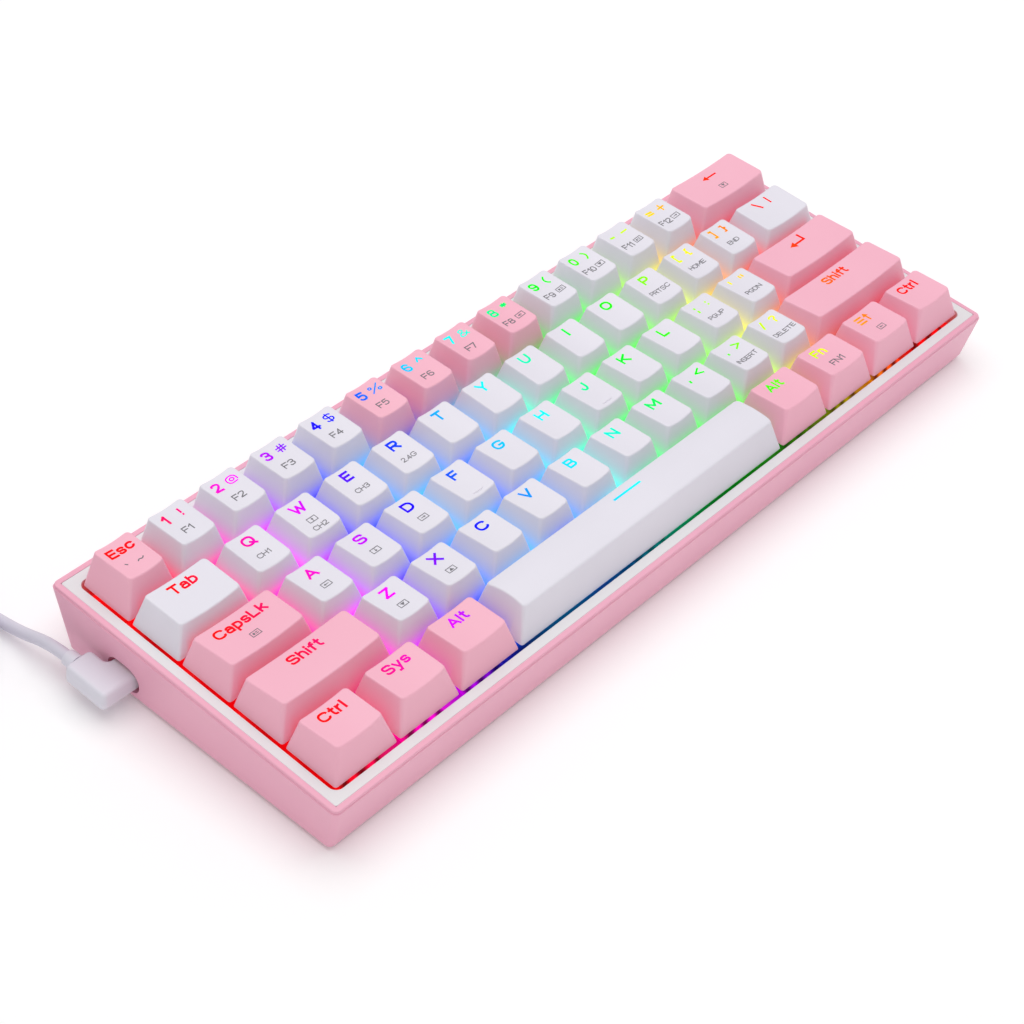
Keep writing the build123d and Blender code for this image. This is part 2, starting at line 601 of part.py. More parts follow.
def tube(name, points):
    """A round tube along straight runs joined by the largest arcs that fit."""
    route = [Vector(*p) for p in points]
    runs = [b - a for a, b in zip(route, route[1:])]
    radii = []
    for before, after in zip(runs, runs[1:]):
        turn = radians(before.get_angle(after))
        radii.append(0.45 * min(before.length, after.length) / tan(turn / 2))
    path = FilletPolyline(*route, radius=radii)
    start = Plane(origin=path @ 0, z_dir=path % 0)
    body = sweep(start * Circle(CABLE_RADIUS), path=path)
    expected = path.length * pi * CABLE_RADIUS ** 2
    print(name, "radii", [round(r, 1) for r in radii], "length", round(path.length, 1))
    print(name, "volume over section times length", round(body.volume / expected, 4))
    return body


def cable_coil():
    """The outer shape of the put-away turns of the lead, with the strap that ties them."""
    height = COIL_LAYERS * CABLE_LAYER + 2 * COIL_TIE
    ring = Cylinder(COIL_OUTER_TURN + CABLE_RADIUS + COIL_TIE, height)
    ring = ring - Cylinder(COIL_INNER_TURN - CABLE_RADIUS - COIL_TIE, height)
    return Pos(*COIL_CENTRE, height / 2) * ring


def usb_a_plug():
    """The far plug, lying flat: a moulding with its metal shell, along -y from the lead's end."""
    x, y, z = LEAD_TAIL[-1]
    moulding = Pos(x, y - A_PLUG_LENGTH / 2, z) * Box(A_PLUG_WIDTH, A_PLUG_LENGTH, A_PLUG_HEIGHT)
    moulding = fillet(moulding.edges().filter_by(Axis.Y), A_PLUG_ROUNDING)
    front = y - A_PLUG_LENGTH
    shell = Pos(x, front - A_SHELL_LENGTH / 2, z) * Box(A_SHELL_WIDTH, A_SHELL_LENGTH, A_SHELL_HEIGHT)
    bore_size = (A_SHELL_WIDTH - 2 * A_SHELL_WALL, A_SHELL_LENGTH, A_SHELL_HEIGHT - 2 * A_SHELL_WALL)
    bore = Pos(x, front - A_SHELL_LENGTH / 2 - A_SHELL_BACK, z) * Box(*bore_size)
    return [moulding, shell - bore]


# ---- build the deck ----------------------------------------------------------------------------
def deck_nodes():
    """Every node of the keyboard itself, as lists of solids in the deck frame."""
    nodes = {
        "case_tray": [case_tray()],
        "top_frame": [top_frame()],
        "switch_plate": [switch_plate()],
        "circuit_board": [circuit_board()],
        "battery": [battery()],
        "usb_socket": [usb_socket()],
        "usb_c_plug": usb_c_plug(),
        "rubber_feet": feet(0, FOOT_THICKNESS - FOOT_RECESS, FOOT_THICKNESS),
        "case_screws": [Pos(x, y, 0) * screw() for x, y in SCREWS],
    }
    per_switch = {"switch_housings": switch_housing(), "switch_springs": spring(), "led_lamps": lamp()}
    for name, solid in per_switch.items():
        nodes[name] = [Pos(x, y, 0) * solid for _, _, _, x, y in KEYS]
    guide = stabiliser_housing()
    nodes["stabiliser_housings"] = []
    nodes["stabiliser_wires"] = []
    for x, y, offset in STABILISED:
        nodes["stabiliser_housings"] += [Pos(x - offset, y, 0) * guide, Pos(x + offset, y, 0) * guide]
        nodes["stabiliser_wires"].append(Pos(x, y, 0) * stabiliser_wire(offset))
    stem = slider()
    side_stem = stabiliser_stem()
    caps = {}
    for name, profile, units, x, y in KEYS:
        if (profile, units) not in caps:
            caps[profile, units] = cap(profile, units)
        solids = nodes.setdefault(name, [])
        solids += [Pos(x, y, CAP_LIFT) * caps[profile, units], Pos(x, y, 0) * stem]
        offset = stabiliser_offset(units)
        if offset:
            solids += [Pos(x - offset, y, 0) * side_stem, Pos(x + offset, y, 0) * side_stem]
    return nodes


def whole(solids):
    """One compound from a list of shapes, flattened to its solids."""
    return Compound(children=[s for shape in solids for s in shape.solids()])


def set_down(nodes):
    """The move from the deck frame to the row frame: tilt, then stand on the pads' undersides."""
    tilt = Rot(X=TILT)
    own = [name for name in nodes if name != "usb_c_plug"]
    boxes = [(tilt * whole(nodes[name])).bounding_box() for name in own]
    x = (min(b.min.X for b in boxes) + max(b.max.X for b in boxes)) / 2
    y = (min(b.min.Y for b in boxes) + max(b.max.Y for b in boxes)) / 2
    z = min(b.min.Z for b in boxes)
    return Pos(-x, -y, -z) * tilt


DECK = deck_nodes()
PLACE = set_down(DECK)
PARTS = {name: PLACE * whole(solids) for name, solids in DECK.items()}

# The lead starts on the collar's end face, wherever the deck's set-down puts it.
ARM_X = -WALL_X + SIDE_LEAN * (LEDGE_Z - PORT_Z) - PLUG_STANDOFF + PLUG_ARM_WIDTH / 2
COLLAR_END = (PLACE * Pos(ARM_X, PORT_Y + PLUG_ARM_END + COLLAR_LENGTH, PORT_Z)).position
print("collar end", [round(v, 2) for v in COLLAR_END])
PARTS["usb_cable"] = whole([tube("lead", [tuple(COLLAR_END)] + LEAD_OUT), tube("tail", LEAD_TAIL)])
PARTS["cable_coil"] = whole([cable_coil()])
PARTS["usb_a_plug"] = whole(usb_a_plug())

for node, shape in PARTS.items():
    export_step(shape, "parts/" + node + ".step")
print(len(PARTS), "nodes")
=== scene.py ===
"""The looks of a 60 per cent keyboard: sculpted caps with lit legends, a two-colour case and its lead."""
import json
import logging
from dataclasses import dataclass, field
from enum import Enum, IntEnum
from math import asin, cos, pi, radians, sin

import bmesh
import bpy
import numpy as np
from mathutils import Euler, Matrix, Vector


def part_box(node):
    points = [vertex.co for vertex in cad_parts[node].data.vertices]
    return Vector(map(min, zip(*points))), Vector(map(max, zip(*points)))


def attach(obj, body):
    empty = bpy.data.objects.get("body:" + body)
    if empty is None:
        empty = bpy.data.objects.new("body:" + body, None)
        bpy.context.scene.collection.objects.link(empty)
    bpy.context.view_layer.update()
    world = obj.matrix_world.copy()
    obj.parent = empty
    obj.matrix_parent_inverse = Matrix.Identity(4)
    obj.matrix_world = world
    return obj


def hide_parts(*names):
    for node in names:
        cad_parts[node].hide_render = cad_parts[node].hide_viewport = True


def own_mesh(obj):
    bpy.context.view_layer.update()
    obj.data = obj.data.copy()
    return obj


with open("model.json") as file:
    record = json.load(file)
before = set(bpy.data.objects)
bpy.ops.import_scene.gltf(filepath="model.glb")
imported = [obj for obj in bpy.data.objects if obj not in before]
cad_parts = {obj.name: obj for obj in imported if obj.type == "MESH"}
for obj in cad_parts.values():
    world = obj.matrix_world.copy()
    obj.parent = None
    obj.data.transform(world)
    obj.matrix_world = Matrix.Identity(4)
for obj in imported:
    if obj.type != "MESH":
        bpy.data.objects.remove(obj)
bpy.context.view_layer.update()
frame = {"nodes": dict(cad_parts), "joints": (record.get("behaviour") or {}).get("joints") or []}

LOG = logging.getLogger("keyboard")
MM = 0.001


# ---- the sloping deck --------------------------------------------------------------------------
@dataclass(frozen=True)
class Deck:
    """The frame that the keys stand in: x right, y back, z square to the switch plate, in mm.

    Its origin is the middle of the key field on the plate's top face.
    """

    tilt: float
    origin: np.ndarray
    pitch: float = 19.05
    columns: int = 15
    rows: int = 5
    plate_thickness: float = 1.5
    cap_lift: float = 6.0
    travel: float = 4.0

    @classmethod
    def from_frame(cls) -> "Deck":
        """Read the slope from a key's joint and the place from the switch plate's box."""
        axis = frame["joints"][0]["axis"]
        tilt = asin(axis[1])
        low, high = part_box("switch_plate")
        middle = (np.array(low) + np.array(high)) / 2
        normal = np.array([0.0, -sin(tilt), cos(tilt)])
        return cls(tilt, middle + normal * cls.plate_thickness / 2 * MM)

    @property
    def half_x(self) -> float:
        """Half the key field's width."""
        return self.columns * self.pitch / 2

    @property
    def half_y(self) -> float:
        """Half the key field's depth."""
        return self.rows * self.pitch / 2

    def place(self, points: np.ndarray) -> np.ndarray:
        """Turn deck points in mm into row-frame points in metres.

        Args:
            points: an (n, 3) array in deck millimetres.

        Returns:
            The (n, 3) array turned by the slope about X, scaled and moved to the deck's origin.
        """
        x, y, z = np.asarray(points, float).T
        cosine, sine = cos(self.tilt), sin(self.tilt)
        return np.stack([x, y * cosine - z * sine, y * sine + z * cosine], 1) * MM + self.origin

    def back(self, points: np.ndarray) -> np.ndarray:
        """Turn row-frame points in metres into deck points in mm, the inverse of place."""
        x, y, z = ((np.asarray(points, float) - self.origin) / MM).T
        cosine, sine = cos(self.tilt), sin(self.tilt)
        return np.stack([x, y * cosine + z * sine, z * cosine - y * sine], 1)


# ---- colour and shader helpers -----------------------------------------------------------------
def linear(code: str) -> tuple[float, float, float, float]:
    """Turn an sRGB hex colour into the linear RGBA that a shader takes."""
    channels = [int(code[i:i + 2], 16) / 255 for i in (1, 3, 5)]
    return tuple(c / 12.92 if c <= 0.04045 else ((c + 0.055) / 1.055) ** 2.4 for c in channels) + (1.0,)


def add(tree: bpy.types.NodeTree, kind: str, inputs: dict | None = None, **settings) -> bpy.types.Node:
    """Add one shader node.

    Args:
        tree: the material's node tree.
        kind: the node's type name, without the leading "ShaderNode".
        inputs: socket name or number to a value, or to another node's output socket.
        **settings: the node's own settings.

    Returns:
        The new node.
    """
    node = tree.nodes.new("ShaderNode" + kind)
    for name, value in settings.items():
        setattr(node, name, value)
    for name, value in (inputs or {}).items():
        if isinstance(value, bpy.types.NodeSocket):
            tree.links.new(value, node.inputs[name])
        else:
            node.inputs[name].default_value = value
    return node


def math(tree: bpy.types.NodeTree, operation: str, *values, clamp: bool = False) -> bpy.types.NodeSocket:
    """Add a Math node on the given values or sockets and return its output."""
    return add(tree, "Math", dict(enumerate(values)), operation=operation, use_clamp=clamp).outputs[0]


def blank(name: str) -> tuple[bpy.types.Material, bpy.types.NodeTree]:
    """Start an empty node material."""
    material = bpy.data.materials.new(name)
    material.use_nodes = True
    material.node_tree.nodes.clear()
    return material, material.node_tree


def finish_surface(tree: bpy.types.NodeTree, shader: bpy.types.NodeSocket) -> None:
    """Join the last shader to the material's output."""
    add(tree, "OutputMaterial", {"Surface": shader})


@dataclass(frozen=True)
class Lean:
    """How the blue lamps' hue leans to cyan, in key pitches from the field's left edge."""

    size: float              # as a share of the hue's turn
    middle: float
    width: float             # half the stretch over which it leans
    ahead: float             # pitches by which the whole run of hues stands further left


DIRECT = Lean(0.048, 5.5, 2.0, 0.0)
SCATTERED = Lean(0.13, 4.8, 1.3, 0.3)


@dataclass(frozen=True)
class Lamps:
    """The run of colour that the lamps throw, from red on the left through violet, blue and green to red."""

    deck: Deck
    first: float = 0.4       # key pitches from the left edge where the hue starts to turn
    last: float = 14.35      # where it is back at red
    dim: float = 0.1         # share of the light that the dim stretch of the front gap keeps
    dim_middle: float = 7.8  # its middle, in pitches from the left edge
    dim_near: float = 3.8    # pitches from its middle where the gap starts to brighten
    dim_far: float = 5.4     # and where the light is whole
    gap_near: float = 3.0    # mm behind the field's front edge where the light starts to be whole
    gap_far: float = 6.0

    def hue(self, tree: bpy.types.NodeTree, lean: Lean = DIRECT) -> bpy.types.NodeSocket:
        """Lamp colour at a point: the hue falls from 1 to 0 from left to right.

        It falls evenly but for a dip of size * max(0, 1 - (u / width)^2), u pitches from the lean's
        middle, where the blue lamps lean to cyan.  That gives the display's colour, and the power 2.2
        makes it linear.

        Args:
            tree: the material's nodes.
            lean: DIRECT through a legend, SCATTERED between the caps.

        Returns:
            The colour's socket.
        """
        spot = add(tree, "TexCoord").outputs["Object"]
        across = add(tree, "SeparateXYZ", {0: spot}).outputs["X"]
        pitch = self.deck.pitch * MM
        left = self.deck.origin[0] - self.deck.half_x * MM - lean.ahead * pitch
        turn = add(tree, "MapRange", {"Value": across, "From Min": left + self.first * pitch,
                                      "From Max": left + self.last * pitch, "To Min": 1.0, "To Max": 0.0})
        u = math(tree, "SUBTRACT", across, left + lean.middle * pitch)
        square = math(tree, "POWER", math(tree, "ABSOLUTE", math(tree, "DIVIDE", u, lean.width * pitch)), 2.0)
        dip = math(tree, "MULTIPLY", math(tree, "SUBTRACT", 1.0, square, clamp=True), lean.size)
        hue = math(tree, "SUBTRACT", turn.outputs[0], dip)
        shown = add(tree, "CombineColor", {0: hue, 1: 1.0, 2: 1.0}, mode="HSV")
        return add(tree, "Gamma", {0: shown.outputs[0], 1: 2.2}).outputs[0]

    def share(self, tree: bpy.types.NodeTree) -> bpy.types.NodeSocket:
        """Share of the light that is left: the front gap is dim by the space bar, whose lamps are far apart.

        The share is 1 inside the field.  In front it rises from dim to 1 with the distance from dim_middle.

        Args:
            tree: the material's nodes.

        Returns:
            The share's socket.
        """
        deck = self.deck
        spot = add(tree, "SeparateXYZ", {0: add(tree, "TexCoord").outputs["Object"]})
        front = deck.origin[1] - deck.half_y * MM
        inside = add(tree, "MapRange", {"Value": spot.outputs["Y"], "From Min": front + self.gap_near * MM,
                                        "From Max": front + self.gap_far * MM})
        pitch = deck.pitch * MM
        middle = deck.origin[0] - deck.half_x * MM + self.dim_middle * pitch
        apart = math(tree, "ABSOLUTE", math(tree, "SUBTRACT", spot.outputs["X"], middle))
        ends = add(tree, "MapRange", {"Value": apart, "From Min": self.dim_near * pitch,
                                      "From Max": self.dim_far * pitch, "To Min": self.dim, "To Max": 1.0})
        return math(tree, "MAXIMUM", inside.outputs[0], ends.outputs[0])

    def height(self, tree: bpy.types.NodeTree) -> bpy.types.NodeSocket:
        """Height above the plate's top face in metres, square to the deck."""
        spot = add(tree, "TexCoord").outputs["Object"]
        normal = (0.0, -sin(self.deck.tilt), cos(self.deck.tilt))
        along = add(tree, "VectorMath", {0: spot, 1: normal}, operation="DOT_PRODUCT").outputs["Value"]
        return math(tree, "SUBTRACT", along, float(np.dot(self.deck.origin, normal)))


# ---- finishes ------------------------------------------------------------------------------------
@dataclass(frozen=True)
class MouldedPlastic:
    """Injection-moulded ABS from an eroded tool: an even colour with a fine grain that softens the shine."""

    name: str
    colour: str
    cloud: str               # the tone that faint flow clouds drift to
    roughness: float = 0.42
    grain_mm: float = 0.35   # real grain is nearer 0.05 mm, drawn coarser so that it shows
    grain_depth_mm: float = 0.005
    cloud_mm: float = 45.0

    def shade(self, tree: bpy.types.NodeTree) -> bpy.types.Node:
        """Lay the colour, clouds and grain and return the Principled node."""
        spot = add(tree, "TexCoord").outputs["Object"]
        clouds = add(tree, "TexNoise", {"Vector": spot, "Scale": 1 / (self.cloud_mm * MM), "Detail": 3.0})
        factor = add(tree, "MapRange", {"Value": clouds.outputs["Fac"], "From Min": 0.35, "From Max": 0.65})
        tone = add(tree, "Mix", {0: factor.outputs[0], 6: linear(self.colour), 7: linear(self.cloud)},
                   data_type="RGBA")
        grain = add(tree, "TexNoise", {"Vector": spot, "Scale": 1 / (self.grain_mm * MM), "Detail": 2.0})
        bump = add(tree, "Bump", {"Height": grain.outputs["Fac"], "Distance": self.grain_depth_mm * MM,
                                  "Strength": 0.6})
        gloss = add(tree, "MapRange", {"Value": grain.outputs["Fac"], "To Min": self.roughness - 0.06,
                                       "To Max": self.roughness + 0.06})
        return add(tree, "BsdfPrincipled", {"Base Color": tone.outputs[2], "Roughness": gloss.outputs[0],
                                            "Normal": bump.outputs[0], "IOR": 1.53})

    def build(self) -> bpy.types.Material:
        """Make the material."""
        material, tree = blank(self.name)
        finish_surface(tree, self.shade(tree).outputs[0])
        return material


@dataclass(frozen=True)
class CapPlastic(MouldedPlastic):
    """Double-shot cap ABS: matt, slightly waxy, with the lamps' light painted a little way up its skirt as
    glow and tint.
    """

    lamps: Lamps | None = None
    reach: float = 9.0       # mm above the foot where the climbing light is gone
    strength: float = 0.5
    soak: float = 0.65       # painted light: share of the cap's own colour that the lamps' hue takes over at its foot
    fall: float = 3.8        # power with which the light falls off up the skirt
    soak_fall: float = 0.6   # power of the painted light with which the painted tint falls off
    side_band: tuple = (6.0, 4.0)    # mm inside the field's sides where the light starts to go, and is gone
    front_band: tuple = (5.0, 8.0)   # mm inside its front where the light comes, and is whole

    def build(self) -> bpy.types.Material:
        """Make the material with the lamps' colour painted on, fading upwards from the cap's foot.

        The painted light at a point is (1 - height / reach)^fall, from 1 at the foot, times 0 at the field's
        sides and front, where the ring shades it, and 1 inside them.

        Returns:
            The material.
        """
        material, tree = blank(self.name)
        shader = self.shade(tree)
        deck = self.lamps.deck
        foot = deck.cap_lift * MM
        fade = add(tree, "MapRange", {"Value": self.lamps.height(tree), "From Min": foot,
                                      "From Max": foot + self.reach * MM, "To Min": 1.0, "To Max": 0.0})
        spot = add(tree, "SeparateXYZ", {0: add(tree, "TexCoord").outputs["Object"]})
        across = math(tree, "ABSOLUTE", spot.outputs["X"])
        inner, outer = ((deck.half_x - inset) * MM for inset in self.side_band)
        side = add(tree, "MapRange", {"Value": across, "From Min": inner, "From Max": outer,
                                      "To Min": 1.0, "To Max": 0.0})
        near, whole = (deck.origin[1] - (deck.half_y - inset) * MM for inset in self.front_band)
        front = add(tree, "MapRange", {"Value": spot.outputs["Y"], "From Min": near, "From Max": whole})
        shut_in = math(tree, "MULTIPLY", side.outputs[0], front.outputs[0])
        glow = math(tree, "MULTIPLY", math(tree, "POWER", fade.outputs[0], self.fall), shut_in)
        hue = self.lamps.hue(tree, SCATTERED)
        own = shader.inputs["Base Color"].links[0].from_socket
        # painted lamp light: the hue tints the base colour and glows as emission, strongest at the foot
        glow_tinted = math(tree, "MULTIPLY", math(tree, "POWER", glow, self.soak_fall), self.soak)
        tree.links.new(add(tree, "Mix", {0: glow_tinted, 6: own, 7: hue}, data_type="RGBA").outputs[2],
                       shader.inputs["Base Color"])
        tree.links.new(hue, shader.inputs["Emission Color"])
        tree.links.new(math(tree, "MULTIPLY", glow, self.strength), shader.inputs["Emission Strength"])
        finish_surface(tree, shader.outputs[0])
        return material


@dataclass(frozen=True)
class LitLegend:
    """Moulded clear resin with a lamp behind it: a flat, full colour that doesn't take the room's light."""

    name: str
    lamps: Lamps
    strength: float = 0.95

    def build(self) -> bpy.types.Material:
        """Make the material, dark by itself so that only the lamp gives it colour."""
        material, tree = blank(self.name)
        hue = self.lamps.hue(tree)
        dim = add(tree, "Mix", {0: 0.85, 6: hue, 7: linear("#000000")}, data_type="RGBA").outputs[2]
        shader = add(tree, "BsdfPrincipled", {"Base Color": dim, "Roughness": 0.6, "Specular IOR Level": 0.1,
                                              "Emission Color": hue, "Emission Strength": self.strength})
        finish_surface(tree, shader.outputs[0])
        return material


@dataclass(frozen=True)
class GlowingSheet:
    """Powder-coated steel lit by the lamps beside it: uneven patches of lamp colour over a fine grain."""

    name: str
    lamps: Lamps
    strength: float = 0.75
    patch_mm: float = 14.0
    grain_mm: float = 0.4
    grain_depth_mm: float = 0.03

    def build(self) -> bpy.types.Material:
        """Make the material."""
        material, tree = blank(self.name)
        hue = self.lamps.hue(tree, SCATTERED)
        spot = add(tree, "TexCoord").outputs["Object"]
        patches = add(tree, "TexNoise", {"Vector": spot, "Scale": 1 / (self.patch_mm * MM), "Detail": 1.0})
        light = add(tree, "MapRange", {"Value": patches.outputs["Fac"], "From Min": 0.35, "From Max": 0.6,
                                       "To Min": 0.5 * self.strength, "To Max": self.strength})
        tint = add(tree, "Mix", {0: 0.8, 6: hue, 7: linear("#202024")}, data_type="RGBA").outputs[2]
        grain = add(tree, "TexNoise", {"Vector": spot, "Scale": 1 / (self.grain_mm * MM)})
        bump = add(tree, "Bump", {"Height": grain.outputs["Fac"], "Distance": self.grain_depth_mm * MM})
        share = math(tree, "MULTIPLY", light.outputs[0], self.lamps.share(tree))
        shader = add(tree, "BsdfPrincipled", {"Base Color": tint, "Roughness": 0.5, "Emission Color": hue,
                                              "Emission Strength": share, "Normal": bump.outputs[0]})
        finish_surface(tree, shader.outputs[0])
        return material


@dataclass(frozen=True)
class ClearGlow:
    """Moulded clear polycarbonate: glassy, filled with streaks of the lamp's colour."""

    name: str
    lamps: Lamps
    strength: float = 0.9
    streak_mm: float = 19.0

    def build(self) -> bpy.types.Material:
        """Make the material."""
        material, tree = blank(self.name)
        hue = self.lamps.hue(tree, SCATTERED)
        pale = add(tree, "Mix", {0: 0.7, 6: hue, 7: linear("#3A3A40")}, data_type="RGBA").outputs[2]
        spot = add(tree, "TexCoord").outputs["Object"]
        streaks = add(tree, "TexWave", {"Vector": spot, "Scale": 1 / (self.streak_mm * MM), "Distortion": 5.0,
                                        "Detail": 1.0})
        light = math(tree, "MULTIPLY", streaks.outputs["Fac"], self.strength)
        light = math(tree, "MULTIPLY", light, self.lamps.share(tree))
        shader = add(tree, "BsdfPrincipled", {"Base Color": pale, "Roughness": 0.08, "IOR": 1.585,
                                              "Emission Color": hue, "Emission Strength": light})
        finish_surface(tree, shader.outputs[0])
        return material


@dataclass(frozen=True)
class SoftJacket:
    """Extruded or overmoulded soft PVC: silky, with slow tone drift and a faint skin of die lines."""

    name: str
    colour: str
    cloud: str
    roughness: float = 0.5
    skin_mm: float = 0.5
    depth_mm: float = 0.03
    drift_mm: float = 18.0

    def build(self) -> bpy.types.Material:
        """Make the material."""
        material, tree = blank(self.name)
        spot = add(tree, "TexCoord").outputs["Object"]
        drift = add(tree, "TexNoise", {"Vector": spot, "Scale": 1 / (self.drift_mm * MM),
                                      "Detail": 2.0}).outputs["Fac"]
        tone = add(tree, "Mix", {0: drift, 6: linear(self.colour), 7: linear(self.cloud)}, data_type="RGBA")
        skin = add(tree, "TexNoise", {"Vector": spot, "Scale": 1 / (self.skin_mm * MM), "Detail": 4.0})
        bump = add(tree, "Bump", {"Height": skin.outputs["Fac"], "Distance": self.depth_mm * MM,
                                  "Strength": 0.5})
        gloss = add(tree, "MapRange", {"Value": drift, "To Min": self.roughness - 0.05,
                                       "To Max": self.roughness + 0.08})
        shader = add(tree, "BsdfPrincipled", {"Base Color": tone.outputs[2], "Roughness": gloss.outputs[0],
                                              "Normal": bump.outputs[0], "Sheen Weight": 0.15,
                                              "Sheen Roughness": 0.4})
        finish_surface(tree, shader.outputs[0])
        return material


@dataclass(frozen=True)
class LightTable:
    """Opal acrylic over a lit box: even white that hides most of the shadow round what stands on it."""

    name: str
    colour: str = "#FCFCFD"
    glow: float = 0.08

    def build(self) -> bpy.types.Material:
        """Make the material."""
        material, tree = blank(self.name)
        shader = add(tree, "BsdfPrincipled", {"Base Color": linear(self.colour), "Roughness": 0.7,
                                              "Specular IOR Level": 0.2, "Emission Color": linear("#FFFFFF"),
                                              "Emission Strength": self.glow})
        finish_surface(tree, shader.outputs[0])
        return material


@dataclass(frozen=True)
class PlatedMetal:
    """Bright nickel on stamped or drawn steel: a mirror broken up by fine lines and handling haze."""

    name: str
    colour: str
    roughness: float = 0.22
    line_mm: float = 0.15
    line_depth_mm: float = 0.01
    haze_mm: float = 6.0

    def build(self) -> bpy.types.Material:
        """Make the material."""
        material, tree = blank(self.name)
        spot = add(tree, "TexCoord").outputs["Object"]
        stretch = add(tree, "Mapping", {"Vector": spot, "Scale": (1.0, 0.05, 1.0)}).outputs[0]
        lines = add(tree, "TexNoise", {"Vector": stretch, "Scale": 1 / (self.line_mm * MM), "Detail": 2.0})
        haze = add(tree, "TexNoise", {"Vector": spot, "Scale": 1 / (self.haze_mm * MM)}).outputs["Fac"]
        gloss = add(tree, "MapRange", {"Value": haze, "To Min": self.roughness - 0.06,
                                       "To Max": self.roughness + 0.12})
        bump = add(tree, "Bump", {"Height": lines.outputs["Fac"], "Distance": self.line_depth_mm * MM,
                                  "Strength": 0.4})
        shader = add(tree, "BsdfPrincipled", {"Base Color": linear(self.colour), "Metallic": 1.0,
                                              "Roughness": gloss.outputs[0], "Normal": bump.outputs[0]})
        finish_surface(tree, shader.outputs[0])
        return material


# ---- mesh helpers --------------------------------------------------------------------------------
def add_piece(name: str, points: np.ndarray, faces: list, materials: list, body: str, slots=None,
              crease: float = 42.0) -> bpy.types.Object:
    """Put points and faces into a mesh object that rides on a body.

    Args:
        name: the piece's name.
        points: (n, 3) array in metres, in the row frame.
        faces: vertex numbers of each face.
        materials: the object's materials.
        body: the CAD body it moves with.
        slots: material number of each face, or None for the first everywhere.
        crease: edges that turn more than this many degrees are drawn sharp.

    Returns:
        The linked object.
    """
    mesh = bpy.data.meshes.new(name)
    mesh.from_pydata(np.asarray(points, float), [], faces)
    for material in materials:
        mesh.materials.append(material)
    if slots is not None:
        mesh.polygons.foreach_set("material_index", np.asarray(slots, np.int32))
    mesh.polygons.foreach_set("use_smooth", np.ones(len(mesh.polygons), bool))
    mesh.set_sharp_from_angle(angle=radians(crease))
    mesh.update()
    piece = bpy.data.objects.new(name, mesh)
    bpy.context.scene.collection.objects.link(piece)
    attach(piece, body)
    return piece


def skin(rings: int, around: int, first_pole: bool = True, last_pole: bool = True) -> list:
    """Faces of a closed tube of rings, each ring's points counter-clockwise seen from the first pole's side.

    Points are numbered ring by ring, then the first pole, then the last.

    Args:
        rings: how many rings there are.
        around: points in each ring.
        first_pole: close the first ring to a middle point.
        last_pole: close the last ring to a middle point.

    Returns:
        Quads between neighbouring rings and triangles at the poles, all facing outwards.
    """
    here = np.arange(around)
    after = (here + 1) % around
    start = np.arange(rings - 1)[:, None] * around
    quads = np.stack([start + here, start + around + here, start + around + after, start + after], -1)
    faces = quads.reshape(-1, 4).tolist()
    pole = rings * around
    if first_pole:
        faces += np.stack([np.full(around, pole), here, after], 1).tolist()
        pole += 1
    if last_pole:
        last = (rings - 1) * around
        faces += np.stack([np.full(around, pole), last + after, last + here], 1).tolist()
    return faces


def join(parts: list[tuple]) -> tuple[np.ndarray, list]:
    """Join (points, faces) pairs into one pair."""
    points, faces, count = [np.zeros((0, 3))], [], 0
    for own, own_faces in parts:
        points.append(own)
        faces += [[count + v for v in face] for face in own_faces]
        count += len(own)
    return np.concatenate(points), faces


def rounded_template(along_x: int, along_y: int, corner: int) -> tuple[np.ndarray, np.ndarray]:
    """Points of a rounded rectangle as corner signs and outward directions, counter-clockwise.

    A point is sign times (half size less radius) plus radius times direction, so one template
    serves every size: a corner's directions run through a quarter turn while its sign stays, and
    an edge's signs run from corner to corner while its direction stays.

    Args:
        along_x: steps along each edge that runs in x.
        along_y: steps along each edge that runs in y.
        corner: steps in each corner.

    Returns:
        Two (n, 2) arrays: signs and directions.
    """
    signs, directions = [], []
    corners = [(1, -1), (1, 1), (-1, 1), (-1, -1)]
    for index, here in enumerate(corners):
        angle = np.radians(-90 + 90 * index) + np.linspace(0, pi / 2, corner + 1)
        signs.append(np.tile(np.array(here, float), (corner + 1, 1)))
        directions.append(np.stack([np.cos(angle), np.sin(angle)], 1))
        there = np.array(corners[(index + 1) % 4], float)
        steps = along_y if index % 2 == 0 else along_x
        part = np.linspace(0, 1, steps + 1)[1:-1, None]
        signs.append(np.array(here) + part * (there - np.array(here)))
        directions.append(np.tile(directions[-1][-1], (steps - 1, 1)))
    return np.concatenate(signs), np.concatenate(directions)


